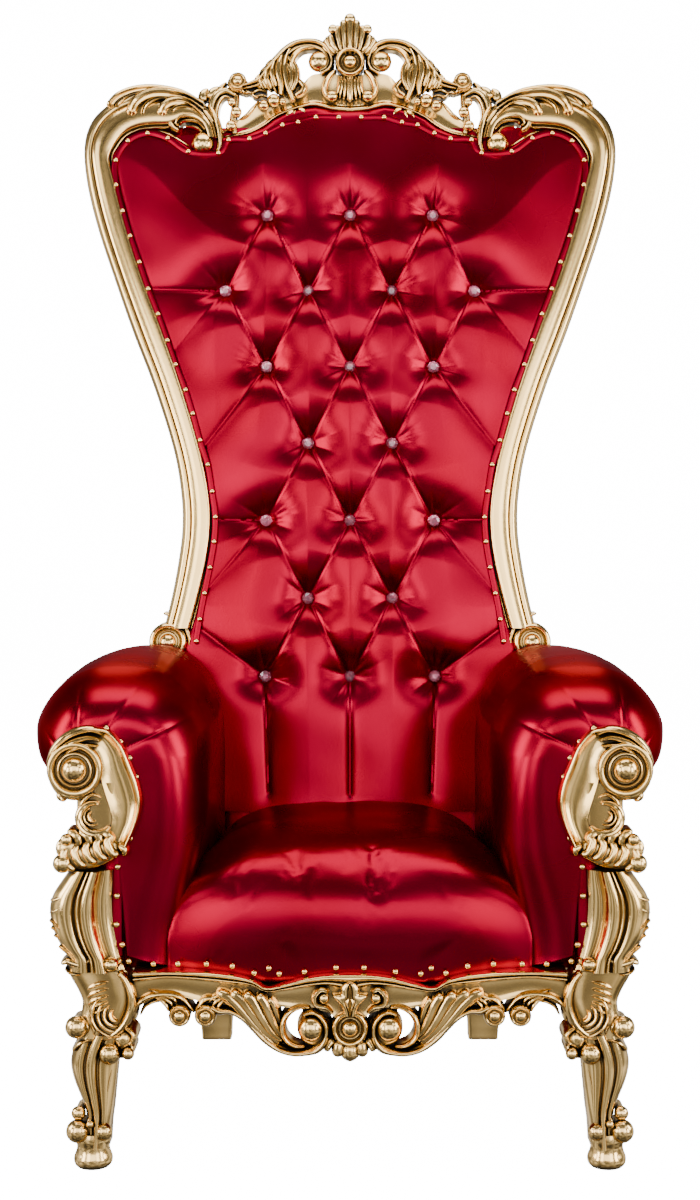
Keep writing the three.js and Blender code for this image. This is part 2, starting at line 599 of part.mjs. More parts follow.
function sideRail() {
  const section = [[0, RAIL_BOTTOM], [36, RAIL_BOTTOM], [40, RAIL_BOTTOM + 6], [36, RAIL_BOTTOM + 14],
    [36, RAIL_TOP - 12], [42, RAIL_TOP - 6], [40, RAIL_TOP], [0, RAIL_TOP]];
  const end = (x, y) => section.map(([out, z]) => new THREE.Vector3(x + out, y, z));
  const rearY = backY(RAIL_TOP) - POST_HALF_D - GAP;
  return skin([end(RAIL_FRONT_X, FRONT_Y + LEG_BACK + GAP), end(RAIL_REAR_X, rearY)]);
}

function rearRail() {
  const y = backY(RAIL_TOP);
  return slab(-REAR_RAIL_HALF, REAR_RAIL_HALF, y - 14, y + 18, RAIL_BOTTOM, RAIL_TOP);
}

// ---------- the throne ----------
const crest = crestRail().intersect(within(CREST_JOINT_X));
const stile = stileAndShoulder().subtract(within(CREST_JOINT_X + GAP));
const leg = frontLeg().subtract(within(APRON_JOINT_X + GAP));
add('crest_rail', lean(await lightened(crest, 1950)), GOLD);
addPair('back_stile', lean(await lightened(stile, 700)), GOLD);
addPair('arm_front', await lightened(armFront(), 820), GOLD);
addPair('front_leg', await lightened(leg, 610), GOLD);
add('front_apron', await lightened(apron(), 1460), GOLD);
addPair('back_post', geometryOf(solid(backPost())), GOLD);
addPair('side_rail', geometryOf(solid(sideRail())), GOLD);
add('rear_rail', geometryOf(solid(rearRail())), GOLD);
add('back_pad', lean(backPad()), SATIN);
add('outer_back', lean(outerBack()), SATIN);
add('seat_cushion', await lightened(seat(), 200), SATIN);
addPair('arm_pad', geometryOf(solid(armPad())), SATIN);
for (const place of buttonPlaces) {
  add(`button_${place.row + 1}_${place.n + 1}`, lean(button(place)), CRYSTAL);
}

// The origin is under the middle of the throne.
const box = new THREE.Box3().setFromObject(model);
model.position.set(-(box.min.x + box.max.x) / 2, -(box.min.y + box.max.y) / 2, -box.min.z);

export default model;
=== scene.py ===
"""A high-backed throne with a carved, gilded frame and tufted red satin upholstery."""

import bpy
import numpy as np
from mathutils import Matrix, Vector


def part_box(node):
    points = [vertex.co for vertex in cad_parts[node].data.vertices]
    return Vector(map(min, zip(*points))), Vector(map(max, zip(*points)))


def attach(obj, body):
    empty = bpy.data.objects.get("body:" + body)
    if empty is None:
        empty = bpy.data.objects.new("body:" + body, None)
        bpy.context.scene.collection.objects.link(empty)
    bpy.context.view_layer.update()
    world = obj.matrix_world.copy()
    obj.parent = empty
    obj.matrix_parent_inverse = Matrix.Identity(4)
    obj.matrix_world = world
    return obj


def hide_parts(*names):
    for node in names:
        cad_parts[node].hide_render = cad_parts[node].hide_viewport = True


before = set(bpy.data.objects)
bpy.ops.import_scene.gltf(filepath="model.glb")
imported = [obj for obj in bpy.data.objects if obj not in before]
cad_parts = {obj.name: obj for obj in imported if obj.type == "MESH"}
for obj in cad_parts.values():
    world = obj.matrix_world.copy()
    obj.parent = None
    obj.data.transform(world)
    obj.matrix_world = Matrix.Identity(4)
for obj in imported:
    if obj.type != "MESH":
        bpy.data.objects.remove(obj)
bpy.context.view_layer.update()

MM = 0.001
RAKE = np.tan(np.radians(8.5))      # lean of the back frame
FRAME_BACK = -22                    # back of the stiles, off the back sheet
CREST_BACK = -20
FACE_BACK = -24                     # back of the arm fronts, off the front sheet
LEG_BACK = -46
APRON_BACK = -30
FULLNESS = 1.4                      # how far the carved strands swell beyond their lines
BUTTON_X = 74                       # half the spacing of the buttons in a row
BUTTON_Z = 136                      # spacing of the rows
BUTTON_TOP = 1466                   # the top row
BUTTON_ROWS = ((-2, 0, 2), (-3, -1, 1, 3), (-2, 0, 2), (-1, 1), (-2, 0, 2), (-1, 1), (-2, 0, 2))
GOLD, RED = "gilt_carving", "red_satin"     # the slots of the gilding and of the upholstery

apron_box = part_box("front_apron")
crest_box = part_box("crest_rail")
FRONT_Y = apron_box[1].y / MM + APRON_BACK
CREST_Y = crest_box[1].y / MM + CREST_BACK
CREST_TOP = crest_box[1].z / MM


# ---------- sheets: (x, z) and the height h in front of the sheet, in mm ----------
def front_sheet(p):
    """The upright plane of the legs, arm fronts and apron."""
    return np.stack([p[..., 0], FRONT_Y - p[..., 2], p[..., 1]], -1)


def back_y(z):
    """The leaning plane of the back frame: its y at a height z."""
    return CREST_Y + (z - CREST_TOP) * RAKE


def back_sheet(p):
    """The leaning plane of the back frame."""
    return np.stack([p[..., 0], back_y(p[..., 1]) - p[..., 2], p[..., 1]], -1)


# ---------- lines ----------
def spline(points, count):
    """count points of the Catmull-Rom curve through the points, even in its parameter."""
    p = np.asarray(points, float)
    t = np.linspace(0, len(p) - 1, count)
    i = np.minimum(t.astype(int), len(p) - 2)
    f = (t - i)[:, None]
    q = np.vstack([p[:1], p, p[-1:]])
    a, b, c, d = q[i], q[i + 1], q[i + 2], q[i + 3]
    return 0.5 * (2 * b + (c - a) * f + (2 * a - 5 * b + 4 * c - d) * f**2 + (3 * b - a - 3 * c + d) * f**3)


def evenly(points, count):
    """The same curve with its points at equal distances along it."""
    fine = spline(points, 24 * len(points))
    run = np.concatenate([[0], np.cumsum(np.linalg.norm(np.diff(fine, axis=0), axis=1))])
    at = np.linspace(0, run[-1], count)
    return np.stack([np.interp(at, run, fine[:, k]) for k in range(fine.shape[1])], -1)


def sideways(line):
    """Unit vectors square to a line in its sheet."""
    d = np.gradient(line, axis=0)
    d /= np.linalg.norm(d, axis=1)[:, None] + 1e-9
    return np.stack([-d[:, 1], d[:, 0]], -1)


def arc(cx, cz, rx, rz, start, end, count=9):
    """Points of an ellipse between two angles in degrees."""
    a = np.radians(np.linspace(start, end, count))
    return np.stack([cx + rx * np.cos(a), cz + rz * np.sin(a)], -1)


def spiral(cx, cz, r0, r1, start, end, count=24):
    """Points that wind from radius r0 to r1 about a centre."""
    a = np.radians(np.linspace(start, end, count))
    r = np.linspace(r0, r1, count)
    return np.stack([cx + r * np.cos(a), cz + r * np.sin(a)], -1)


# ---------- meshes ----------
def build(name, points, quads, tris, smooth=35):
    """A mesh object of quads and triangles, in mm, with edges sharper than an angle left hard."""
    mesh = bpy.data.meshes.new(name)
    loops = np.concatenate([quads.ravel(), tris.ravel()]).astype(np.int32)
    starts = np.concatenate([4 * np.arange(len(quads)), 4 * len(quads) + 3 * np.arange(len(tris))])
    mesh.vertices.add(len(points))
    mesh.vertices.foreach_set("co", (points * MM).astype(np.float32).ravel())
    mesh.loops.add(len(loops))
    mesh.loops.foreach_set("vertex_index", loops)
    mesh.polygons.add(len(starts))
    mesh.polygons.foreach_set("loop_start", starts.astype(np.int32))
    mesh.update(calc_edges=True)
    mesh.validate()
    mesh.shade_smooth()
    mesh.set_sharp_from_angle(angle=np.radians(smooth))
    return placed(name, mesh)


def placed(name, data):
    """An object at the origin that shows a mesh, a lamp or a camera."""
    piece = bpy.data.objects.new(name, data)
    bpy.context.scene.collection.objects.link(piece)
    return piece


def skinned(rings):
    """Faces over a stack of closed rings, with a pole in the middle of each end, facing outwards."""
    m, n = rings.shape[:2]
    k = np.arange(m * n).reshape(m, n)
    turned = np.roll(k, -1, 1)
    quads = np.stack([k[:-1], turned[:-1], turned[1:], k[1:]], -1).reshape(-1, 4)
    points = np.concatenate([rings.reshape(-1, 3), rings[[0, -1]].mean(1)])
    low = np.stack([np.full(n, m * n), turned[0], k[0]], -1)
    high = np.stack([np.full(n, m * n + 1), k[-1], turned[-1]], -1)
    tris = np.concatenate([low, high])
    a, b, c, d = (points[quads[:, j]] for j in range(4))
    volume = np.einsum("ij,ij->", a, np.cross(b, c) + np.cross(c, d))
    a, b, c = (points[tris[:, j]] for j in range(3))
    volume += np.einsum("ij,ij->", a, np.cross(b, c))
    return (points, quads, tris) if volume > 0 else (points, quads[:, ::-1], tris[:, ::-1])


def joined(shapes):
    """The points, quads and triangles of several shapes as those of one."""
    offset = np.cumsum([0] + [len(points) for points, _, _ in shapes])
    return [np.concatenate([shape[k] + (offset[i] if k else 0) for i, shape in enumerate(shapes)])
            for k in range(3)]


def scattered(shape, places):
    """The same small shape at each of the places (x, y, z), as the faces of one mesh."""
    points, quads, tris = shape
    step = np.arange(len(places))[:, None, None] * len(points)
    return ((points + places[:, None]).reshape(-1, 3), (quads + step).reshape(-1, 4),
            (tris + step).reshape(-1, 3))


class Carving:
    """Closed shapes on one sheet, gathered into a single piece."""

    def __init__(self, sheet, back):
        self.sheet = sheet
        self.back = back
        self.shapes = []

    def add(self, rings):
        """Rings of (x, z, h) points."""
        self.shapes.append(skinned(self.sheet(np.asarray(rings, float))))

    def relief(self, xz, h):
        """Rows of points at their heights, with flanks that stand on the back."""
        body = np.concatenate([xz, h[..., None]], -1)
        base = body[:, [0, -1]].copy()
        base[..., 2] = self.back
        self.add(np.concatenate([base[:, :1], body, base[:, 1:]], 1))

    def mirror(self):
        """Adds the mirror image of everything so far."""
        flip = np.array([-1, 1, 1])
        self.shapes += [(p * flip, q[:, ::-1], t[:, ::-1]) for p, q, t in self.shapes]

    def band(self, edge_a, edge_b, section, count=60, fine=5):
        """A moulding between two lines. The section is (u, h) from the first line to the second."""
        a, b = spline(edge_a, count)[:, None], spline(edge_b, count)[:, None]
        s = spline(section, fine * (len(section) - 1) + 1)
        s = np.vstack([[s[0, 0], self.back], s, [s[-1, 0], self.back]])
        flat = a + (b - a) * s[None, :, :1]
        self.add(np.concatenate([flat, np.broadcast_to(s[None, :, 1:], (*flat.shape[:2], 1))], -1))

    def strand(self, line, width, height, start=0.25, end=0.25, crease=0.0, count=26, side=0.15):
        """A rounded ridge along a line. Its width is the share
        w(t) = 1 - (1 - start) (1 - t)^2.4 - (1 - end) t^2.4, blunt at both tips. crease sinks a channel
        along its middle and side is the height of its flanks, as shares of its height."""
        fine = evenly(line, 241)
        length = np.linalg.norm(np.diff(fine, axis=0), axis=1).sum()
        t = 0.5 - 0.5 * np.cos(np.linspace(0, np.pi, count)[:, None])
        at = (t[:, 0] * 240).round().astype(int)
        path, across = fine[at], sideways(fine)[at]
        w = 1 - (1 - start) * (1 - t) ** 2.4 - (1 - end) * t**2.4
        blunt = FULLNESS * width * np.where(t < 0.5, start, end) / length
        tip = np.clip(1 - np.minimum(t, 1 - t) / np.maximum(blunt, 1e-3), 0, 1)
        w = w * np.sqrt(np.maximum(1 - tip**2, 0.02))
        top = np.interp(t, [0, 1], height) if np.ndim(height) else height
        u = np.sin(np.linspace(-1, 1, 11) * np.pi / 2)[None]
        rise = side + (1 - side) * np.sqrt(np.maximum(0, 1 - u**2))
        rise = rise * (1 - crease * np.exp(-((u / 0.3) ** 2)))
        h = self.back + (top - self.back) * (0.6 + 0.4 * w) * (0.58 + 0.42 * rise)
        xz = path[:, None] + across[:, None] * (FULLNESS * width * w * u)[..., None]
        self.relief(xz, np.maximum(h, self.back + 1))

    def turned(self, cx, cz, profile, sides=32, stretch=1.0, fine=3):
        """A turned shape on the sheet: its profile is (radius, height) from the rim to the middle."""
        s = spline(profile, fine * (len(profile) - 1) + 1)
        s = np.vstack([[s[0, 0], self.back], s])
        a = np.linspace(0, 2 * np.pi, sides, endpoint=False)[None]
        r, h = np.maximum(s[:, :1], 0.05), s[:, 1:]
        x, z = cx + r * np.cos(a), cz + r * stretch * np.sin(a)
        self.add(np.stack([x, z, np.broadcast_to(h, x.shape)], -1))

    def ball(self, cx, cz, r, top, stretch=1.0):
        """A ball that stands on a short neck."""
        a = np.radians(np.linspace(-50, 88, 10))
        profile = np.stack([r * np.cos(a), top - r + r * np.sin(a)], -1)
        self.turned(cx, cz, np.vstack([[r * 0.62, self.back / 2], profile]), 28, stretch, 1)

    def leaves(self, first, last, count, height, notch=0.25, valley=0.5):
        """Carved leaves side by side between two lines: |sin(pi k)|^0.7 across them, with valleys that
        stop short of the tips by the share notch."""
        cols = 8 * count + 1
        k = np.linspace(0, count, cols)
        wave = np.abs(np.sin(np.pi * k)) ** 0.7
        t = np.linspace(0, 1, 22)[:, None]
        reach = t * (1 - notch * t**2 * (1 - wave[None]))
        a, b = spline(first, 200), spline(last, 200)
        at = (reach * 199).round().astype(int)
        u = (k / count)[None, :, None]
        xz = a[at] * (1 - u) + b[at] * u
        lift = (valley + (1 - valley) * wave[None]) * (1 - 0.45 * t**2)
        self.relief(xz, self.back + (height - self.back) * (0.3 + 0.7 * lift))

    def piece(self, name, *nodes):
        """The finished object, which stands for its nodes."""
        return finished(build(name, *joined(self.shapes)), gilding, GOLD, *nodes)


def finished(piece, material, slot, *nodes):
    """Gives a piece its material and hands it over."""
    piece.data.materials.append(material)
    return handed_over(piece, slot, *nodes)


def handed_over(piece, slot, *nodes):
    """Fixes a piece to the throne and hides the nodes that it stands for; its slot is not used."""
    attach(piece, "root")
    if nodes:
        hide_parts(*nodes)
    return piece


def mirrored(piece, name, slot, *nodes):
    """The same piece on the other side."""
    mesh = piece.data.copy()
    mesh.name = name
    co = np.empty(len(mesh.vertices) * 3, np.float32)
    mesh.vertices.foreach_get("co", co)
    mesh.vertices.foreach_set("co", (co.reshape(-1, 3) * (-1, 1, 1)).ravel())
    mesh.flip_normals()
    return handed_over(placed(name, mesh), slot, *nodes)


# ---------- materials ----------
class Nodes:
    """Makes the nodes of a material or of the room; arithmetic on sockets is written with operators."""

    def __init__(self, owner, shader="Principled BSDF"):
        owner.use_nodes = True
        self.owner = owner
        self.tree = owner.node_tree
        self.shader = self.tree.nodes[shader]

    def make(self, kind, inputs=(), **settings):
        node = self.tree.nodes.new(kind)
        for key, value in settings.items():
            setattr(node, key, value)
        for key, value in dict(inputs).items():
            self.give(node.inputs[key], value)
        return node

    def give(self, socket, value):
        if isinstance(value, Value):
            self.tree.links.new(value.socket, socket)
        else:
            socket.default_value = value

    def value(self, node, output=0):
        return Value(self, node.outputs[output])

    def position(self):
        return self.value(self.make("ShaderNodeTexCoord"), "Object")

    def noise(self, scale, detail, vector=None):
        where = vector or self.position()
        return self.value(self.make("ShaderNodeTexNoise", {"Scale": scale, "Detail": detail,
                                                           "Vector": where}))

    def blend(self, factor, a, b):
        node = self.make("ShaderNodeMix", data_type="RGBA")
        for key, value in ((0, factor), (6, a), (7, b)):
            self.give(node.inputs[key], value)
        return self.value(node, 2)

    def bump(self, height, strength, distance):
        inputs = {"Height": height, "Strength": strength, "Distance": distance}
        return self.value(self.make("ShaderNodeBump", inputs))

    def surface(self, **inputs):
        for key, value in inputs.items():
            self.give(self.shader.inputs[key.replace("_", " ")], value)
        return self.owner


class Value:
    """One socket of a material."""

    def __init__(self, nodes, socket):
        self.nodes = nodes
        self.socket = socket

    def math(self, operation, *others):
        node = self.nodes.make("ShaderNodeMath", operation=operation)
        for socket, value in zip(node.inputs, (self, *others)):
            self.nodes.give(socket, value)
        return self.nodes.value(node)

    def __add__(self, other):
        return self.math("ADD", other)

    __radd__ = __add__

    def __mul__(self, other):
        return self.math("MULTIPLY", other)

    __rmul__ = __mul__

    def __sub__(self, other):
        return self.math("SUBTRACT", other)

    def __rsub__(self, other):
        return (self * -1) + other

    def between(self, low, high):
        """0 below low, 1 above high and smooth between them."""
        inputs = {"Value": self, "From Min": low, "From Max": high}
        node = self.nodes.make("ShaderNodeMapRange", inputs, interpolation_type="SMOOTHSTEP")
        return self.nodes.value(node)


def gold_leaf():
    """Polished gold leaf, uneven in its polish, with painted shade: ambient occlusion darkens its colour to a
    near-black brown in its hollows.
    """
    n = Nodes(bpy.data.materials.new("gold_leaf"))
    # painted shade: ambient occlusion finds the hollows and creases of the carving
    occlusion_shade = n.value(n.make("ShaderNodeAmbientOcclusion", {"Distance": 0.01}, samples=6), "AO")
    shade = occlusion_shade.between(0.3, 0.9)
    tone = n.blend(n.noise(9, 2).between(0.3, 0.7), (1.0, 0.655, 0.24, 1), (0.95, 0.605, 0.2, 1))
    # painted shade: the colour blends from the gold tone to near-black brown where the occlusion is deep
    colour = n.blend(shade, (0.045, 0.038, 0.028, 1), tone)
    rough = 0.14 + n.noise(60, 3) * 0.06 + (1 - shade) * 0.2
    relief = n.bump(n.noise(160, 3), 0.12, 0.0006)
    return n.surface(Base_Color=colour, Metallic=1.0, Roughness=rough, Normal=relief)


def satin():
    """Glossy red satin with a fine weave and faint ripples."""
    n = Nodes(bpy.data.materials.new("red_satin"))
    weave = n.noise(900, 2)
    ripple = n.noise(8, 1)
    colour = n.blend(ripple.between(0.35, 0.65), (0.23, 0.0, 0.013, 1), (0.255, 0.0, 0.017, 1))
    rough = 0.25 + ripple * 0.06
    relief = n.bump(ripple * 0.4 + weave * 0.01, 0.3, 0.004)
    return n.surface(Base_Color=colour, Metallic=0.97, Roughness=rough, Normal=relief,
                     Specular_Tint=(0.5, 0.0, 0.05, 1))


def crystal():
    """Clear faceted crystal, tinted by the pink foil behind it."""
    n = Nodes(bpy.data.materials.new("crystal"))
    colour = n.blend(n.noise(200, 1).between(0.4, 0.6), (0.72, 0.3, 0.4, 1), (0.5, 0.15, 0.25, 1))
    return n.surface(Base_Color=colour, Roughness=0.02, IOR=1.6, Coat_Weight=0.6, Transmission_Weight=0.75)


def glowing(name, tone, roughness, strength):
    """A plain grey surface that gives off white light."""
    n = Nodes(bpy.data.materials.new(name))
    return n.surface(Base_Color=(tone, tone, tone, 1), Roughness=roughness, Emission_Color=(1, 1, 1, 1),
                     Emission_Strength=strength)


gilding = gold_leaf()
satin_red = satin()
clear_crystal = crystal()


# ---------- the carved pieces ----------
VOLUTE = (318, 711)                 # the middle of the volute at the foot of a stile
SCROLL = (390, 577)                 # the middle of the scroll of an arm
STILE_OUTER = ((326, 735), (314, 785), (303, 845), (296, 905), (298, 965), (312, 1045), (347, 1155),
               (386, 1255), (420, 1350), (452, 1445), (472, 1525), (478, 1590), (467, 1635), (440, 1666),
               (401, 1687), (357, 1697), (318, 1692), (286, 1680), (260, 1660), (243, 1634), (236, 1606))
STILE_INNER = ((275, 735), (262, 785), (248, 845), (240, 905), (242, 965), (258, 1045), (290, 1155),
               (325, 1255), (362, 1350), (393, 1445), (413, 1520), (424, 1565), (414, 1590), (398, 1609),
               (376, 1619), (352, 1622), (324, 1624), (302, 1636), (280, 1637), (263, 1626), (256, 1606))


def back_stile():
    """One stile of the back with its shoulder scroll above and the small volute at its foot."""
    c = Carving(back_sheet, FRAME_BACK)
    section = ((0, -6), (0.03, 3), (0.08, 10), (0.13, 14), (0.2, 16.5), (0.27, 16), (0.3, 13.5), (0.33, 16.5),
               (0.42, 19.5), (0.58, 21.5), (0.74, 21.5), (0.85, 20), (0.89, 16.5), (0.92, 10), (0.945, 12.5),
               (0.975, 13), (1, 9))
    c.band(STILE_OUTER, STILE_INNER, section, 220, 3)
    c.turned(*VOLUTE, ((33, 8), (32, 15), (28, 19), (24.5, 16), (22, 8), (18.5, 6), (16, 9)), 48)
    c.ball(*VOLUTE, 14.5, 27)
    c.strand(((327, 760), (303, 752), (288, 736), (280, 712), (288, 688)), 6, 17, 0.3, 0.3)
    c.leaves(((262, 1672), (300, 1690), (350, 1696), (404, 1684), (446, 1656)),
             ((262, 1640), (286, 1662), (318, 1664), (334, 1652), (338, 1640)), 3, 27, 0.1, 0.6)
    for line, width, height in (
            (((262, 1669), (308, 1690), (368, 1695), (412, 1683), (434, 1660)), 8, (24, 30)),
            (((256, 1660), (298, 1681), (350, 1686), (382, 1670), (393, 1643)), 10.5, (26, 38)),
            (((250, 1649), (280, 1668), (312, 1671), (332, 1661), (338, 1642)), 9.5, (24, 37)),
            (((296, 1688), (350, 1692), (398, 1682), (420, 1660)), 4, (26, 31)),
            (((286, 1672), (338, 1678), (364, 1665), (372, 1645)), 4, (28, 34)),
            (((264, 1654), (290, 1663), (310, 1661), (320, 1650)), 4, (26, 33))):
        c.strand(line, width, height, 0.3, 0.72, 0.25, 34)
    c.strand(((244, 1632), (262, 1652), (296, 1656), (320, 1642), (318, 1626), (305, 1618)), 7, (22, 28),
             0.5, 0.5, 0.1)
    c.strand(((250, 1622), (270, 1644), (298, 1647), (312, 1634), (306, 1626)), 4.5, (22, 31), 0.5, 0.4)
    c.strand(((254, 1616), (272, 1635), (297, 1637), (306, 1630)), 4.5, (18, 26), 0.5, 0.4)
    c.strand(((258, 1610), (276, 1626), (296, 1628)), 3.5, (12, 18), 0.5, 0.4)
    c.strand(((252, 1664), (240, 1640), (233, 1608), (235, 1584), (249, 1571), (267, 1572)), 6, 19, 0.6, 0.4)
    c.strand(((372, 1623), (340, 1619), (312, 1606), (284, 1588)), 4.5, 12, 0.3, 0.4)
    c.ball(264, 1596, 20, 28)
    return c.piece("stile_right", "back_stile_right")


def crest_rail():
    """The pierced crest: a shaped board, two C scrolls with acanthus, end knobs, a boss and a plume."""
    c = Carving(back_sheet, CREST_BACK)
    low = ((-6, 1652), (30, 1655), (62, 1663), (88, 1660), (112, 1653), (134, 1642), (156, 1625), (184, 1612),
           (229.9, 1606))
    high = ((-6, 1718), (30, 1724), (66, 1723), (86, 1706), (112, 1688), (140, 1676), (166, 1668),
            (192, 1648), (229.9, 1618))
    c.band(low, high, ((0, 0), (0.03, 7), (0.08, 9.5), (0.13, 8), (0.17, 3.5), (0.24, 1.5), (0.5, -0.5),
                       (0.8, 1), (1, 4)), 120)
    outer = ((194, 1704), (181, 1711), (168, 1719), (155, 1737), (140, 1755), (121, 1775), (101, 1787),
             (77, 1791), (54, 1788), (38, 1776), (29, 1758), (28, 1741), (35, 1726), (50, 1719))
    inner = ((190, 1694), (175, 1696), (158, 1702), (143, 1719), (128, 1736), (112, 1753), (96, 1765),
             (77, 1770), (62, 1767), (51, 1761), (44, 1751), (43, 1743), (47, 1736), (55, 1731))
    c.band(outer, inner, ((0, 0), (0.1, 9), (0.25, 17), (0.4, 20), (0.52, 17), (0.6, 12), (0.7, 15),
                          (0.86, 15), (1, 7)), 110)
    c.ball(56, 1746, 19, 25)
    c.strand(((56, 1771), (84, 1770), (101, 1756), (105, 1738), (97, 1719)), 5.5, 22, 0.4, 0.5)
    for line in (((122, 1762), (108, 1750), (97, 1732), (97, 1710), (106, 1690)),
                 ((128, 1752), (116, 1742), (106, 1726), (106, 1706), (112, 1690)),
                 ((96, 1716), (88, 1706), (82, 1698), (88, 1688), (100, 1682))):
        c.strand(line, 5.5, (20, 25), 0.5, 0.6, 0.1)
    c.leaves(((103, 1772), (112, 1748), (112, 1708), (100, 1674)),
             ((172, 1714), (170, 1708), (166, 1702), (160, 1696)), 5, 20, 0.35, 0.6)
    c.leaves(((24, 1756), (36, 1772), (49, 1789)), ((-2, 1758), (-2, 1795), (-2, 1822)), 4, 16, 0.2)
    for line, width, height in (
            (((100, 1776), (112, 1764), (118, 1741), (113, 1706), (101, 1671)), 7, 27),
            (((110, 1770), (123, 1756), (129, 1729), (124, 1704), (124, 1682)), 7, 29),
            (((123, 1762), (136, 1747), (140, 1724), (131, 1698)), 6.4, 27),
            (((135, 1752), (147, 1739), (150, 1716), (140, 1695)), 6, 25),
            (((147, 1740), (157, 1728), (159, 1711), (149, 1696)), 5.2, 22),
            (((157, 1727), (167, 1715), (168, 1704), (158, 1697)), 4.6, 18),
            (((120, 1702), (110, 1690), (98, 1678)), 4.4, 23)):
        c.strand(line, width, (height - 6, height), 0.45, 0.45, 0.1)
    c.turned(202, 1710, ((16, 0), (16, 10), (13.5, 16), (11, 15), (9.5, 14), (7, 18), (3, 20.5), (0.5, 21)),
             28)
    c.strand(arc(202, 1710, 15, 15, 20, -190, 12), 5, 17, 0.4, 0.4, 0.1)
    for k in range(4):
        c.strand(((214 - 6 * k, 1703 - 2 * k), (206 - 6 * k, 1695 - 2 * k), (194 - 5 * k, 1692)), 3.6,
                 (16, 12), 0.4, 0.3)
    c.strand(((264, 1672), (264, 1688), (256, 1699)), 8, 8, 0.7, 0.2)
    c.strand(((254, 1678), (246, 1692), (235, 1702)), 8, 10, 0.7, 0.2)
    c.strand(((240, 1688), (231, 1700), (222, 1710)), 5, 13, 0.6, 0.2)
    c.strand(((204, 1684), (223, 1694), (241, 1685), (249, 1664), (244, 1640), (233, 1608)), 7, 13, 0.5, 0.6)
    c.strand(((212, 1676), (225, 1682), (236, 1670), (240, 1650), (236, 1632), (226, 1614)), 4, 17, 0.4, 0.5)
    c.strand(((192, 1697), (178, 1689), (164, 1694), (148, 1690)), 3.6, 14, 0.4, 0.4)
    c.strand(((178, 1690), (170, 1682), (158, 1684), (146, 1680)), 3.4, 14, 0.4, 0.4)
    c.strand(((200, 1640), (188, 1646), (174, 1662), (163, 1676)), 4, 11, 0.4, 0.4)
    c.strand(((206, 1612), (210, 1640), (206, 1668), (204, 1690)), 6, 9, 0.6, 0.6)
    for x, z, r, top in ((213, 1628, 10, 20), (204, 1653, 10, 20), (155, 1666, 9.5, 18), (137, 1675, 12, 20),
                         (212, 1671, 8, 18), (121, 1672, 6, 18), (32, 1682, 10, 22), (31, 1805, 9, 18)):
        c.ball(x, z, r, top)
    c.strand(((100, 1657), (108, 1652), (117, 1641)), 5, 17, 0.5, 0.3)
    c.strand(((97, 1658), (101, 1648), (104, 1638)), 4, 16, 0.5, 0.3)
    c.strand(((94, 1660), (84, 1656), (76, 1645)), 5, 17, 0.5, 0.3)
    c.strand(((25, 1731), (38, 1718), (45, 1700), (42, 1684), (30, 1672)), 5.5, 23, 0.5, 0.4)
    for x0, x1, width in ((4, 3.5, 4.2), (10, 11, 4.2), (15, 19, 4), (19, 25, 3.4)):
        c.strand(((x0, 1722), (x1 * 0.8, 1700), (x1, 1674 + 0.3 * x1)), width, (14, 21), 0.8, 0.4)
    for line, width in ((((9, 1764), (11, 1796), (12, 1824)), 5.5), (((16, 1762), (21, 1790), (23, 1814)),
                                                                     5),
                        (((20, 1760), (31, 1776), (36, 1797)), 5), (((24, 1758), (37, 1771), (46, 1788)),
                                                                    4.6),
                        (((27, 1755), (40, 1764), (50, 1776)), 4)):
        c.strand(line, width, (24, 17), 0.6, 0.9, 0.15)
    c.mirror()
    c.strand(((0, 1764), (0, 1800), (0, 1830)), 6, (25, 19), 0.7, 0.9)
    c.ball(0, 1824, 10.5, 19)
    c.strand(((0, 1722), (0, 1700), (0, 1672)), 4.2, (16, 22), 0.8, 0.6)
    c.turned(0, 1744, ((27, 6), (27, 15), (24, 21), (20, 18), (17, 11), (14, 10), (12, 13)), 48)
    c.ball(0, 1744, 12, 26)
    return c.piece("carved_crest", "crest_rail")


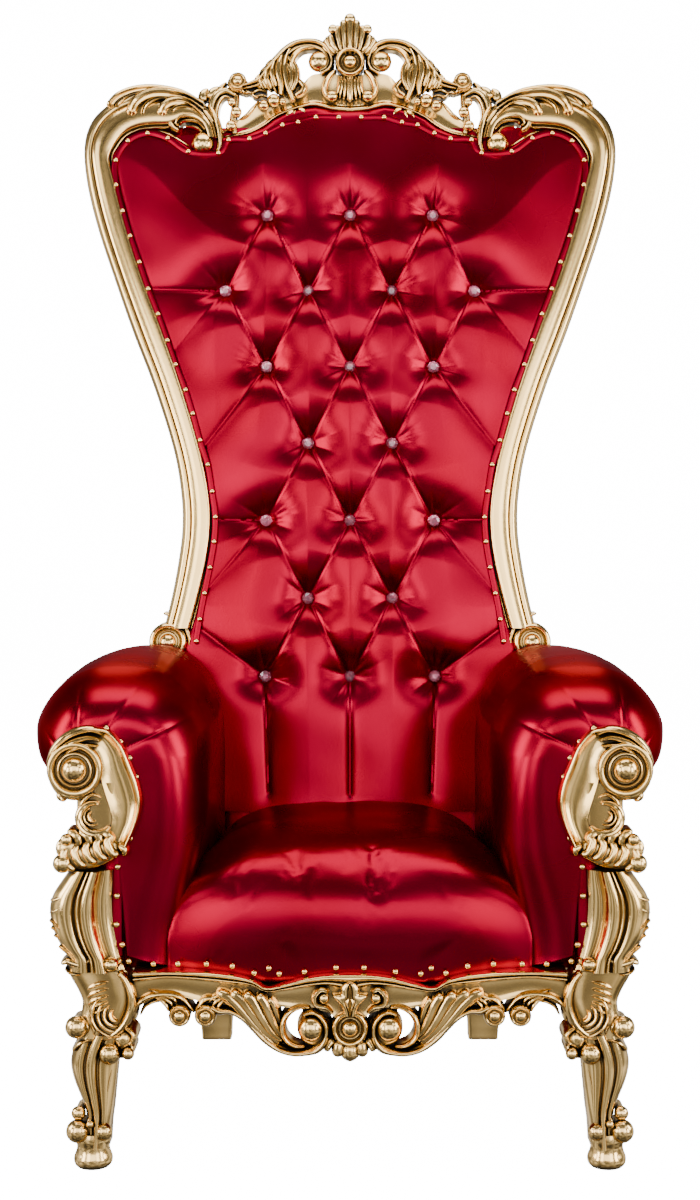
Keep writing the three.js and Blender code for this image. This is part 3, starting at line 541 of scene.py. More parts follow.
def arm_front():
    """The carved face of an arm: scroll and comma, C curl, gadroon cup and the post with its leaves."""
    c = Carving(front_sheet, FACE_BACK)
    cheek_outer = ((380, 638), (360, 637), (340, 632), (322, 612), (309, 582), (299, 555), (295, 528),
                   (302, 498), (316, 466))
    cheek_inner = ((392, 606), (378, 606), (362, 604), (354, 585), (352, 562), (346, 540), (340, 520),
                   (338, 500), (350, 470))
    c.band(cheek_outer, cheek_inner, ((0, 2), (0.04, 8), (0.1, 11), (0.16, 9), (0.2, 3), (0.28, 0),
                                      (0.5, -3), (0.8, 0), (1, 4)), 90)
    c.turned(*SCROLL, ((40, 0), (39.5, 8), (37, 12.5), (32, 12), (28.5, 7), (26.5, 5.5), (25, 9), (22.5, 11),
                       (20, 8)), 56)
    c.ball(*SCROLL, 18.5, 27)
    for line, width in ((((348, 626), (368, 634), (396, 627), (418, 608), (429, 584)), 6),
                        (((352, 618), (372, 622), (398, 614), (413, 600), (421, 585)), 5),
                        (((356, 610), (376, 611), (396, 604), (408, 594)), 4)):
        c.strand(line, width, (16, 21), 0.4, 0.3, 0.15)
    c.strand(((426, 560), (410, 543), (386, 538), (364, 546)), 6, 14, 0.3, 0.4)
    c.strand(((408, 548), (412, 538), (404, 531)), 5, 12, 0.5, 0.4)
    c.band(((388, 557), (388, 470)), ((336, 557), (336, 470)), ((0, 0), (0.2, 2), (0.8, 2), (1, 0)), 6)
    c.strand(spiral(362, 509, 20, 25, 110, -150), 6.5, (20, 17), 0.4, 0.4, 0.15, 40)
    c.strand(((352, 536), (366, 541), (379, 530), (382, 512)), 4, (14, 18), 0.3, 0.4)
    for r, width in ((13, 3), (7, 3)):
        c.strand(spiral(364, 510, r, r, 70, -120, 12), width, 13, 0.6, 0.4)
    for k in range(4):
        a = 402 - 15 * k
        c.strand(((a, 489), (a - 12, 484), (a - 17, 474), (a - 10, 465)), 7, 17 - k, 0.5, 0.4, 0.1)
    c.ball(402, 477, 9, 17)
    c.ball(408, 443, 14, 21)
    c.strand(((404, 480), (401, 460), (388, 450), (372, 450), (346, 460), (330, 472)), 13, 12, 0.8, 0.7, 0,
             30, 0.6)
    for k in range(5):
        x, z = 398 - 15.5 * k, 452 + 4.5 * k
        c.strand(((x + 2, z + 15), (x + 8, z + 3), (x + 2, z - 11), (x - 10, z - 18 + k)), 7.2, (17, 23),
                 0.5, 0.5)
    c.strand(((330, 470), (320, 462), (322, 452)), 6, 16, 0.5, 0.5)
    outer = ((400, 432), (414, 412), (424, 396), (429, 378), (428, 360), (423, 340), (414, 322), (403, 306),
             (404, 287.2))
    inner = ((338, 432), (339, 412), (340, 396), (340, 378), (339, 360), (336, 340), (332, 322), (328, 306),
             (322, 287.2))
    c.band(outer, inner, ((0, -10), (0.05, 0), (0.15, 10), (0.27, 15), (0.36, 13.5), (0.4, 8.5), (0.43, 13),
                          (0.47, 17), (0.505, 13.5), (0.54, 17), (0.62, 19), (0.69, 16), (0.74, 9),
                          (0.78, 3), (0.84, 4), (0.92, 2), (1, -4)), 60, 4)
    c.strand(((427, 389), (408, 396), (394, 414), (388, 428)), 3.2, 17, 0.3, 0.4)
    c.strand(((428, 371), (404, 384), (389, 402)), 2.6, 16, 0.3, 0.3)
    for line, width in ((((427, 349), (410, 342), (392, 328), (378, 304)), 5.5),
                        (((423, 338), (404, 330), (388, 314), (376, 298)), 5),
                        (((416, 322), (400, 314), (386, 300)), 4.5), (((429, 360), (414, 352), (400, 346)),
                                                                      3.5)):
        c.strand(line, width, (12, 19), 0.25, 0.5, 0.2)
    c.strand(((366, 306), (384, 298), (402, 302), (412, 297)), 6, 17, 0.5, 0.4)
    c.ball(340, 298, 12, 20, 0.85)
    c.strand(((326, 306), (334, 296), (350, 293), (366, 297)), 4.5, 14, 0.5, 0.4)
    return c.piece("arm_face_right", "arm_front_right")


def front_leg():
    """A cabriole leg: fluted bracket, gadroons over the knee, faceted shaft and a ball foot on its pad."""
    c = Carving(front_sheet, LEG_BACK)
    top_outer = ((404, 286.8), (400, 276), (390, 258), (384, 243), (384, 232), (388, 215), (391, 190))
    top_inner = ((320, 286.8), (316, 276), (313, 258), (313, 246), (316, 232), (322, 215), (328, 190))
    c.band(top_outer, top_inner, ((0, -10), (0.06, -1), (0.2, 5), (0.45, 8), (0.7, 8), (0.9, 4), (1, -2)), 50)
    for k, z in enumerate((271, 261, 251, 242, 233)):
        c.strand(((378 - k, z - 14), (369 - k, z - 6), (356 - k, z), (340, z + 3)), 5.4, (15, 17), 0.45, 0.6)
    c.strand(((332, 288), (320, 275), (312, 256), (311, 238), (317, 220), (328, 204), (345, 192),
              (366, 188), (384, 193)), 6.5, (20, 15), 0.6, 0.35, side=0.4)
    c.strand(((408, 290), (396, 283), (380, 285), (368, 290)), 5, 12, 0.4, 0.4)
    for r in (9, 17, 25, 33):
        c.strand(arc(331, 226, r * 1.1, r, -100, 62, 10), 4.8, 23 - r * 0.1, 0.45, 0.45)
    c.ball(390, 207, 16.5, 21)
    for k in range(3):
        c.strand(((383 - 9 * k, 220 - 5 * k), (374 - 9 * k, 208 - 5 * k), (376 - 9 * k, 194 - 4 * k)), 5,
                 (14, 17), 0.5, 0.4)
    c.strand(((334, 202), (320, 204), (309, 194), (314, 182), (324, 184)), 5, 12, 0.4, 0.5)
    c.strand(((322, 186), (312, 176), (318, 165), (334, 160)), 5, 8, 0.4, 0.4)
    c.ball(317, 168, 9, 12)
    c.turned(325, 186, ((15, -12), (14, -2), (9, 3), (4, 5), (1, 5)), 24)
    outer = ((388, 196), (396, 178), (401, 158), (401, 142), (396, 122), (388, 102), (381, 82), (379, 60),
             (380, 30))
    inner = ((322, 196), (328, 178), (333, 158), (335, 142), (337, 122), (339, 102), (341, 82), (344, 60),
             (346, 30))
    c.band(outer, inner, ((0, -16), (0.06, -5), (0.18, 5), (0.28, 6), (0.33, 2.5), (0.38, 10), (0.46, 13),
                          (0.55, 12), (0.6, 3), (0.66, 5), (0.8, 4), (0.93, -5), (1, -14)), 60)
    c.strand(((398, 170), (384, 184), (366, 188), (350, 182)), 4.5, 14, 0.4, 0.4)
    c.ball(344, 168, 15.5, 19)
    c.strand(((336, 178), (350, 180), (360, 170), (358, 156)), 4, 12, 0.4, 0.4)
    c.strand(((340, 150), (346, 120), (352, 92), (362, 72)), 3, 8, 0.4, 0.3)
    c.ball(390, 55, 17, 18)
    c.ball(353, 55, 13, 16)
    c.ball(389, 80, 10.5, 8)
    c.ball(371, 68, 5.5, 17)
    c.strand(((372, 84), (374, 64), (372, 46)), 6, 12, 0.3, 0.5)
    foot_x, foot_y = 370, FRONT_Y + 15
    foot = spline(((22.8, 0), (26.5, 4), (28, 9), (27.5, 15), (24.5, 23), (23.5, 31), (26, 40), (24, 50)), 29)
    a = np.linspace(0, 2 * np.pi, 40, endpoint=False)[None]
    x, y = foot_x + foot[:, :1] * np.cos(a), foot_y + foot[:, :1] * np.sin(a)
    c.shapes.append(skinned(np.stack([x, y, np.broadcast_to(foot[:, 1:], x.shape)], -1)))
    return c.piece("leg_right", "front_leg_right")


def front_apron():
    """The pierced apron under the seat, with a ringed boss, C scrolls and S-curved leaves."""
    c = Carving(front_sheet, APRON_BACK)
    top = ((-6, 284), (30, 283), (60, 279), (90, 271), (118, 265), (140, 276), (170, 283), (210, 287),
           (260, 288), (308.9, 288))
    low = ((-6, 194), (30, 226), (60, 230), (90, 234), (122, 238), (140, 243), (170, 238), (208, 242),
           (262, 252), (308.9, 232))
    c.band(top, low, ((0, 2), (0.03, 8), (0.09, 10.5), (0.14, 8), (0.165, 4), (0.2, 7), (0.24, 7),
                      (0.28, 0), (0.36, -3), (0.8, -3), (1, 0)), 150)
    c.turned(50, 203, ((26, -20), (25, -3), (20, 2), (6, 4)), 40)
    outer = ((200, 232), (188, 223), (175, 225), (160, 218), (146, 206), (130, 188), (114, 175), (98, 167),
             (80, 163), (60, 164), (44, 168), (32, 180), (27, 198), (30, 216), (42, 230), (56, 234),
             (68, 230))
    inner = ((196, 240), (184, 236), (168, 234), (152, 226), (138, 214), (121, 196), (106, 184), (94, 177),
             (80, 174), (64, 175), (52, 179), (43, 188), (39, 200), (41, 212), (49, 222), (57, 224),
             (64, 222))
    c.band(outer, inner, ((0, -4), (0.1, 4), (0.3, 10), (0.5, 13), (0.7, 12), (0.86, 8), (1, 0)), 140)
    c.strand(spiral(68, 204, 32, 26, 112, -100), 5, 16, 0.4, 0.4, 0, 36)
    c.leaves(((112, 250), (112, 216), (92, 178)), ((196, 252), (150, 216), (116, 182)), 4, 10, 0.1)
    for line, width, height in (
            (((192, 256), (177, 253), (160, 238), (139, 212), (111, 182), (84, 170)), 7.6, 19),
            (((172, 259), (156, 249), (141, 229), (123, 203), (100, 182)), 7.6, 21),
            (((152, 259), (139, 246), (127, 224), (112, 200), (96, 186)), 7.6, 22),
            (((133, 257), (122, 243), (113, 221), (103, 201), (93, 190)), 7, 21),
            (((117, 251), (108, 238), (103, 220), (97, 206)), 5, 17)):
        c.strand(line, width, (height, height - 4), 0.8, 0.4, 0.05, 34)
    c.strand(((308.9, 214), (305, 236), (288, 250), (262, 254), (240, 248), (222, 226)), 5, 11, 0.5, 0.4)
    c.strand(((300, 222), (292, 236), (274, 244), (254, 242), (240, 234)), 3, 8, 0.4, 0.4)
    c.strand(((221, 226), (208, 246), (194, 247), (184, 236)), 5, 11, 0.5, 0.4)
    for x, way in ((206, -1), (243, 1)):
        c.turned(x, 224, ((15.5, -2), (15.5, 8), (13, 13), (10.5, 12), (9, 11), (7, 15), (3, 17.5),
                          (0.5, 18)), 28)
        for k in range(3):
            c.strand(((x + way * (15 - 5 * k), 228 + 6 * k), (x + way * (19 - 5 * k), 238 + 5 * k),
                      (x + way * 30, 248 + 4 * k), (x + way * 46, 250 + 5 * k)), 4.2, (13, 9), 0.5, 0.2)
    c.ball(56, 205, 18.5, 22)
    c.band(((-2, 224), (-2, 250), (-2, 275)), ((9, 226), (14, 240), (26, 254), (15, 257), (14, 265),
                                               (8, 272), (-2, 275.5)), ((0, 18), (0.12, 15.5), (0.2, 18),
                                                                        (0.34, 15), (0.42, 17), (0.7, 15.5),
                                                                        (0.9, 12), (1, 4)), 60)
    c.ball(37, 249, 7.5, 15)
    c.strand(((24, 226), (34, 236), (48, 240), (50, 252), (40, 262), (30, 256)), 4.4, 17, 0.5, 0.7, 0.1)
    c.strand(((14, 190), (17, 174), (14, 163)), 7.5, (14, 17), 0.8, 0.8, 0.15)
    c.strand(((22, 192), (31, 180), (33, 170)), 5, (12, 15), 0.8, 0.7, 0.15)
    c.mirror()
    c.strand(((0, 188), (0, 172), (0, 156)), 11, (14, 18), 0.8, 0.8)
    c.turned(0, 206, ((26, 2), (26, 10), (23, 15), (19.5, 13), (17, 7), (14, 6), (12, 8)), 48)
    c.ball(0, 206, 12, 20)
    return c.piece("carved_apron", "front_apron")


# ---------- upholstery ----------
SIDE = spline(STILE_INNER[:12], 240)
PAD_FOOT = ((250, 421), (276, 640), (287, 700))
CREST_LINE = ((0, 1651), (30, 1652), (62, 1658), (88, 1655), (112, 1648), (134, 1637), (156, 1621),
              (184, 1609), (229, 1603), (238, 1580), (262, 1572), (286, 1585), (320, 1607), (352, 1620),
              (376, 1617), (398, 1607), (414, 1590), (430, 1566))
TUCK = 7                            # how far the satin runs on behind the frame
SATIN_Y = FRONT_Y + 3               # the front of the satin of the arms
SWELL = 7                           # how far pressure may move the padding of the seat
VOXEL = 6                           # the spacing of its remeshed cloth
PRESSURE, STEPS = 4.0, 20           # the pressure inside it and the frames that it takes
VALLEY_DEPTH, VALLEY_SPREAD = 10, 26        # the soft valley along a fold
CREASE_DEPTH, CREASE_SPREAD = 3.4, 2.6      # the crisp crease in its middle
PIT_DEPTH, PIT_SPREAD = 29, 36              # the pit round a button


def half_opening(z):
    """Half the width of the opening of the back frame at a height."""
    line = np.vstack([PAD_FOOT, SIDE])
    return np.interp(z, line[:, 1], line[:, 0])


def opening(columns, rows, bottom, tuck):
    """A grid of (x, z) over the opening: straight rows whose tops follow the line under the crest."""
    u = np.linspace(-1, 1, columns)[None]
    v = np.linspace(0, 1, rows)[:, None]
    xs, zs = np.asarray(CREST_LINE, float).T
    reach = half_opening(bottom + (zs[-1] - bottom) * v) + tuck
    for _ in range(12):
        reach = half_opening(bottom + (np.interp(reach, xs, zs) + tuck - bottom) * v) + tuck
    x = u * reach
    top = np.interp(np.abs(x), xs, zs) + tuck
    z = bottom + (top - bottom) * v
    soft_top = sum(np.interp(np.abs(x) + shift, xs, zs) for shift in range(-60, 61, 12)) / 11
    side = (1 - np.abs(u)) * half_opening(z)
    return x, z, np.minimum(side, top - z) + 0 * x, np.minimum(side, np.maximum(soft_top - z, 0)) + 0 * x


def button_places():
    """Where the buttons are: (x, z), row by row from the top."""
    rows = enumerate(BUTTON_ROWS)
    return [(i * BUTTON_X, BUTTON_TOP - k * BUTTON_Z) for k, row in rows for i in row]


def folds():
    """The folds of the tufting: from, to, depth at the start and at the end."""
    places = button_places()
    row = [BUTTON_TOP - k * BUTTON_Z for k in range(len(BUTTON_ROWS))]
    lines = []
    for x, z in places:
        for side in (-1, 1):
            if (x + side * BUTTON_X, z - BUTTON_Z) in places:
                lines.append((x, z, x + side * BUTTON_X, z - BUTTON_Z, 1, 1))
            lines.append((x, z, x + side * 56, z + 1, 0.8, 0))
    for side in (-1, 1):
        near, far = side * 2 * BUTTON_X, side * 3 * BUTTON_X
        lines += [(near, row[0], far, row[1], 0.9, 0.9), (far, row[1], side * 372, row[1] + 2, 1, 0.5),
                  (near, row[2], side * 262, 1046, 1, 0.6), (far, row[1], side * 318, 1216, 0.6, 0.2),
                  (near, row[4], side * 250, 924, 1, 0.6), (near, row[6], side * 266, 736, 1, 0.6),
                  (near, row[4], side * 250, 800, 0.7, 0.3)]
    for i in (-2, 0, 2):
        lines += [(i * BUTTON_X, row[0], i * 78, row[0] + 95, 0.9, 0),
                  (i * BUTTON_X, row[6], i * 70, 452, 1.1, 0.8)]
    return np.array(lines, float)


def tufting(x, z):
    """Depth of the tufting: valley exp(-away / spread) plus crease exp(-away / spread) along each fold,
    and pit exp(-(r / spread)^1.5) with short radial gathers at each button."""
    depth = np.zeros_like(x)
    draw = np.random.default_rng(21)
    for x0, z0, x1, z1, from_depth, to_depth in folds():
        dx, dz = x1 - x0, z1 - z0
        t = np.clip(((x - x0) * dx + (z - z0) * dz) / (dx * dx + dz * dz), 0, 1)
        away = np.hypot(x - x0 - t * dx, z - z0 - t * dz)
        strength = (from_depth + (to_depth - from_depth) * t) * draw.uniform(0.75, 1.1)
        valley = strength * (VALLEY_DEPTH * np.exp(-away / VALLEY_SPREAD)
                             + CREASE_DEPTH * np.exp(-away / CREASE_SPREAD))
        depth = np.maximum(depth, valley)
    pit = np.zeros_like(x)
    gather = np.zeros_like(x)
    for bx, bz in button_places():
        r = np.hypot((x - bx) * 0.8, (z - bz) * np.where(z > bz, 0.95, 1.3))
        a = np.arctan2(z - bz, x - bx)
        pit = np.maximum(pit, PIT_DEPTH * np.exp(-((r / PIT_SPREAD) ** 1.5)))
        for angle in np.concatenate([draw.uniform(0.2, 2.9, 6), draw.uniform(3.4, 6.1, 3)]):
            turn = np.abs((a - angle + np.pi) % (2 * np.pi) - np.pi)
            crease = np.exp(-np.clip(turn, 0, 1.2) * r / 2.6) * np.exp(-(((r - 16) / 26) ** 2))
            gather = np.maximum(gather, (turn < 1.2) * crease * draw.uniform(0.9, 2.2))
    return depth * 0.95 + pit + gather


def rippled(x, z, seed, height):
    """A slow random ripple: the sum of a few waves."""
    shortest, longest, count = 70.0, 260.0, 14
    draw = np.random.default_rng(seed)
    total = np.zeros_like(x)
    for _ in range(count):
        length = draw.uniform(shortest, longest)
        turn = draw.uniform(0, np.pi)
        run = (x * np.cos(turn) + z * np.sin(turn)) * 2 * np.pi / length
        total += np.sin(run + draw.uniform(0, 6.28)) * length / longest
    return total * height / np.sqrt(count)


def pad_height(x, z, edge, inside):
    """Height of the tufted back off its sheet: a crown 12 + 32 (1 - across^4) (1 - exp(-inside / 150)),
    less the tufting, that falls to 1 at the rim; edge and inside are distances from the outline."""
    across = np.abs(x) / half_opening(z)
    crown = 12 + 32 * (1 - np.clip(across, 0, 1) ** 4) * (1 - np.exp(-inside / 150))
    rim = 1 - np.exp(-np.clip(edge, 0, None) / 3.5)
    body = crown - tufting(x, z) + rippled(x, z, 3, 1.6)
    return 1 + (body - 1) * rim


def back_pad():
    """The button-tufted satin back, closed behind."""
    x, z, edge, inside = opening(300, 420, 421, TUCK)
    h = pad_height(x, z, edge, inside)
    front = np.stack([x, z, h], -1)
    behind = front[:, ::-30].copy()
    behind[..., 2] = -12
    made = build("tufted_back", *skinned(back_sheet(np.concatenate([front, behind], 1))), 60)
    return finished(made, satin_red, RED, "back_pad")


def outer_back():
    """The plain satin outer back, drawn smooth over the frame."""
    x, z, edge, _ = opening(90, 140, 289, 2)
    h = -17 - 5 * (1 - np.exp(-np.clip(edge, 0, None) / 25)) + rippled(x, z, 5, 0.5)
    behind = np.stack([x, z, h], -1)
    front = behind[:, ::-11].copy()
    front[..., 2] = -13
    made = build("outer_cover", *skinned(back_sheet(np.concatenate([behind, front], 1))), 60)
    return finished(made, satin_red, RED, "outer_back")


def settled(piece, cap):
    """Lets pressure settle the padding: a cloth simulation on an evenly remeshed copy, whose movement
    is capped in mm."""
    remesh = piece.modifiers.new("even", "REMESH")
    remesh.mode = "VOXEL"
    remesh.voxel_size = VOXEL * MM
    even = bpy.data.meshes.new_from_object(piece.evaluated_get(bpy.context.evaluated_depsgraph_get()))
    piece.modifiers.clear()
    piece.data = even
    cloth = piece.modifiers.new("cloth", "CLOTH").settings
    cloth.quality = 4
    cloth.use_pressure = True
    cloth.uniform_pressure_force = PRESSURE
    cloth.effector_weights.gravity = 0.0
    start = np.empty(len(even.vertices) * 3, np.float32)
    even.vertices.foreach_get("co", start)
    for step in range(1, STEPS + 1):
        bpy.context.scene.frame_set(step)
    swollen = piece.evaluated_get(bpy.context.evaluated_depsgraph_get()).data
    end = np.empty_like(start)
    swollen.vertices.foreach_get("co", end)
    bpy.context.scene.frame_set(1)
    piece.modifiers.clear()
    move = (end - start).reshape(-1, 3)
    far = np.linalg.norm(move, axis=1)[:, None]
    move *= np.minimum(1, cap * MM / np.maximum(far, 1e-9))
    even.vertices.foreach_set("co", start + move.ravel())
    even.shade_smooth()
    even.update()
    smooth = piece.modifiers.new("smooth", "SUBSURF")
    smooth.levels = smooth.render_levels = 1
    return piece


SEAT_FRONT = FRONT_Y + 5
SEAT_LENGTH = 548
SEAT_HALF, SEAT_TAPER = 268, 46     # half the width at the front, and how much less it is at the rear
SEAT_FOOT, SEAT_RISE = 262, 187     # its lowest edge, and how far its crown is above that
SEAT_DROP = 98                      # how far its top falls to the sides


def seat():
    """The padded seat: a deep rolled front that rises into a crowned top and narrows to the rear. Its
    sides drop by SEAT_DROP (1 - (1 - |u|^3)^0.45)."""
    profile = evenly(((-4, 262), (-4, 300), (-3, 340), (3, 378), (17, 406), (42, 428), (84, 442), (150, 448),
                      (240, 447), (360, 442), (470, 440), (525, 436), (545, 420)), 150)
    under = np.array(((545, 300), (400, 289), (200, 289), (40, 270), (10, 262)), float)
    section = np.vstack([profile, under])
    u = np.sin(np.linspace(-1, 1, 121) * np.pi / 2)
    y, z = section[None, :, 0], section[None, :, 1]
    half = SEAT_HALF - SEAT_TAPER * np.clip(y / SEAT_LENGTH, 0, 1)
    side = np.abs(u[:, None]) ** 3.2
    fall = np.clip((z - SEAT_FOOT) / SEAT_RISE, 0, 1) ** 1.3
    drop = SEAT_DROP * (1 - (1 - np.abs(u[:, None]) ** 3) ** 0.45)
    x = u[:, None] * half
    out = y + 16 * side * np.exp(-np.clip(y, 0, None) / 30) + rippled(x, z, 9, 0.8)
    top = z + 6 * fall - drop * fall + rippled(x, y, 8, 1.2) * (z > 380)
    rings = np.stack([x, SEAT_FRONT + out, top], -1)
    made = settled(build("seat_pad", *skinned(rings), 60), SWELL)
    return finished(made, satin_red, RED, "seat_cushion")


ARM_FRONT = ((246, 284), (243, 330), (229, 400), (212, 470), (205, 540), (212, 604), (238, 658), (281, 693),
             (336, 704), (388, 699), (426, 676), (452, 634), (455, 590), (440, 562), (410, 549), (388, 535),
             (384, 400), (384, 284))
ARM_REAR = ((216, 292), (217, 340), (216, 440), (216, 530), (224, 604), (247, 660), (284, 694), (326, 706),
            (366, 703), (402, 686), (428, 650), (434, 600), (420, 562), (380, 545), (340, 530), (308, 400),
            (290, 292))
PLEATS = (-4, 45, 91, 127, 157)     # their directions from the middle of the scroll, in degrees


def arm_pad():
    """A rolled arm: its front is drawn round the scroll in pleats and rounds over into the roll by
    y = depth (1 - sqrt(1 - into^2)), where into runs from 0 to 1 over the radius of the edge."""
    front = evenly((*ARM_FRONT, ARM_FRONT[0]), 561)[:-1]
    rear = evenly((*ARM_REAR, ARM_REAR[0]), 561)[:-1]
    spine = np.stack([np.clip(front[:, 0], 322, 366), np.clip(front[:, 1], 310, 592)], -1)
    spine[:, 0] = np.where(spine[:, 1] < 545, 322, spine[:, 0])
    start, radius = SATIN_Y, 70.0
    closing = 0.62 * (1 - np.sin(np.linspace(0, 1, 40) * np.pi / 2))
    inset = np.concatenate([np.linspace(0.94, 0.66, 8), closing])[:, None]
    reach = np.linalg.norm(front - spine, axis=1)[None]
    into = np.clip(1 - inset * reach / radius, 0, 1)
    high = np.clip((front[None, :, 1] - 420) / 220, 0, 1)
    depth_of = 62 + 58 * high * high * (3 - 2 * high)
    y_cap = start + depth_of * (1 - np.sqrt(1 - into**2))
    cap = front + (spine - front) * inset[..., None]
    t = np.linspace(0, 1, 61)[1:, None]
    end = back_y(front[:, 1])[None] - 14
    y_body = start + depth_of + (end - start - depth_of) * t
    body = front + (rear - front) * t[..., None]
    flat = np.concatenate([cap, body])
    y = np.concatenate([y_cap, y_body])
    a = np.degrees(np.arctan2(flat[..., 1] - SCROLL[1], flat[..., 0] - SCROLL[0])) % 360
    r = np.hypot(flat[..., 1] - SCROLL[1], flat[..., 0] - SCROLL[0])
    depth = np.zeros_like(a)
    for pleat in PLEATS:
        gap = np.abs((a - pleat + 180) % 360 - 180)
        away = np.radians(gap) * r
        depth = np.maximum(depth, (gap < 60) * (2.6 * np.exp(-away / 2.6) + 0.9 * np.exp(-away / 12)))
    depth *= np.exp(-np.clip(y - start - 10, 0, None) / 30) * (flat[..., 1] > 500)
    towards = np.stack([SCROLL[0] - flat[..., 0], SCROLL[1] - flat[..., 1]], -1) / (r[..., None] + 1)
    face = np.clip(1 - (y - start) / depth_of, 0, 1)
    flat = flat + towards * (depth * (1 - face))[..., None]
    y = y + depth * face + rippled(flat[..., 0], flat[..., 1], 12, 1.0) * face
    along = np.clip((y - start) / (end - start), 0, 1)
    swell = rippled(y, np.unwrap(np.radians(a), axis=1) * 110, 11, 1.0)
    swell += 16 * np.sin(np.pi * along) * np.clip((flat[..., 1] - 560) / 60, 0, 1)
    flat = flat - towards * swell[..., None] * (1 - face)[..., None]
    made = build("arm_roll_right", *skinned(np.stack([flat[..., 0], y, flat[..., 1]], -1)), 60)
    return finished(made, satin_red, RED, "arm_pad_right")


def both(points):
    """The points and their mirror images."""
    return [*points, *((-x, *rest) for x, *rest in points)]


SIDE_NAILS = ((418, 1564), (417, 1519), (405, 1472), (391, 1427), (374, 1380), (358, 1332), (340, 1287),
              (323, 1240), (308, 1197), (290, 1152), (277, 1110), (264, 1063), (250, 1020), (242, 973),
              (236, 928), (238, 885), (245, 840), (254, 795), (262, 750), (268, 712))
TOP_NAILS = ((397, 1599), (362, 1613), (326, 1604), (289, 1580), (235, 1577), (217, 1601), (180, 1603),
             (151, 1613), (121, 1628), (93, 1633), (61, 1642), (20, 1642))
SEAT_NAILS = ((281, 296), (246, 296), (205, 296), (168, 293), (137, 283), (116, 290), (101, 282), (65, 285),
              (20, 291))
ARM_NAILS = ((331, 436), (332, 394), (333, 353), (325, 324), (316, 300), (313, 477), (303, 507), (300, 538),
             (304, 565), (313, 592), (326, 615), (346, 634))
NAIL = 4.6                          # the radius of a nail head
NAIL_LIFT = 16.5                    # how far it stands off the back sheet
BRAID_LIFT, BRAID_WIDTH, BRAID_HEIGHT = 14, 11, 2.2


def back_braid():
    """A flat braid along the nails of the back, facing the front."""
    edge = evenly([(x + 1, z) for x, z in SIDE_NAILS[::-1]] + list(TOP_NAILS), 260)
    trim = np.column_stack([edge[:, 0], back_y(edge[:, 1]) - BRAID_LIFT, edge[:, 1]])
    u = np.array((-1, -0.8, -0.3, 0.3, 0.8, 1, 1, -1))[None, :, None] * BRAID_WIDTH / 2
    h = np.array((0, 0.7, 1, 1, 0.7, 0, -1, -1))[None, :, None] * BRAID_HEIGHT
    shapes = []
    for path in (trim, (trim * (-1, 1, 1))[::-1]):
        side = sideways(path[:, ::2])
        side = np.stack([side[:, 0], 0 * side[:, 0], side[:, 1]], -1)
        shapes.append(skinned(path[:, None] + side[:, None] * u + np.array((0, -1, 0)) * h))
    return finished(build("back_braid", *joined(shapes)), satin_red, RED)


def nail_heads():
    """Small domed nail heads that face the front."""
    backs = np.array(both([*SIDE_NAILS, *TOP_NAILS]), float)
    fronts = np.array(both([*SEAT_NAILS, *ARM_NAILS]), float)
    y = np.concatenate([back_y(backs[:, 1]) - NAIL_LIFT, np.full(len(fronts), SATIN_Y)])
    places = np.vstack([backs, fronts])
    a = np.linspace(0, 2 * np.pi, 12, endpoint=False)
    lift = np.radians(np.array((-40, 0, 25, 50, 75)))[:, None]
    dome = np.stack([NAIL * np.cos(lift) * np.cos(a), -NAIL * 0.85 * np.sin(lift) + 0 * a,
                     NAIL * np.cos(lift) * np.sin(a)], -1)
    at = np.stack([places[:, 0], y, places[:, 1]], -1)
    return finished(build("nail_heads", *scattered(skinned(dome), at)), gilding, GOLD)


def crystal_buttons():
    """Faceted crystals, eight-sided, one in each pit of the back."""
    places = np.array(button_places(), float)
    x, z = places[:, 0], places[:, 1]
    far = np.full(len(x), 200.0)
    base = pad_height(x, z, far, far)
    a = np.radians(22.5 + 45 * np.arange(8))
    rings = []
    for k, (r, h) in enumerate(((7.5, -3), (10.8, 2), (9.6, 6), (5.4, 9))):
        b = a + np.radians(22.5) * (k % 2)
        rings.append(np.stack([r * np.cos(b), np.full(8, -h), r * np.sin(b)], -1))
    at = np.stack([x, back_y(z) - base - 6, z], -1)
    made = build("crystal_buttons", *scattered(skinned(np.array(rings)), at), 5)
    nodes = [f"button_{k + 1}_{i + 1}" for k, row in enumerate(BUTTON_ROWS) for i in range(len(row))]
    return finished(made, clear_crystal, "crystal", *nodes)


# ---------- posts and rails ----------
def rounded(w, d, r=6.0):
    """A rectangle of half sizes w and d with rounded corners, as (across, along) points."""
    a = np.radians(np.linspace(0, 90, 5))
    corner = np.stack([w - r + r * np.cos(a), d - r + r * np.sin(a)], -1)
    return np.vstack([corner, (corner * (-1, 1))[::-1], -corner, (corner * (1, -1))[::-1]])


def back_post():
    """The back leg, which carries on behind the arm as the post of the back."""
    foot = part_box("back_post_right")
    rear = foot[1].y / MM - 23
    stations = ((237, rear, 0, 26), (237.2, rear - 3, 20, 27), (238, rear - 12, 60, 29),
                (246, rear - 48, 160, 29), (262, back_y(288), 288, 29), (275, back_y(470), 470, 29),
                (290, back_y(676), 676, 29))
    path = spline([s[:3] for s in stations], 80)
    width = spline([(s[3], 0) for s in stations], 80)[:, 0]
    rings = np.array([np.column_stack([rounded(w, 23) + (x, y), np.full(20, z)])
                      for (x, y, z), w in zip(path, width)])
    made = build("back_leg_right", *skinned(rings))
    return finished(made, gilding, GOLD, "back_post_right")


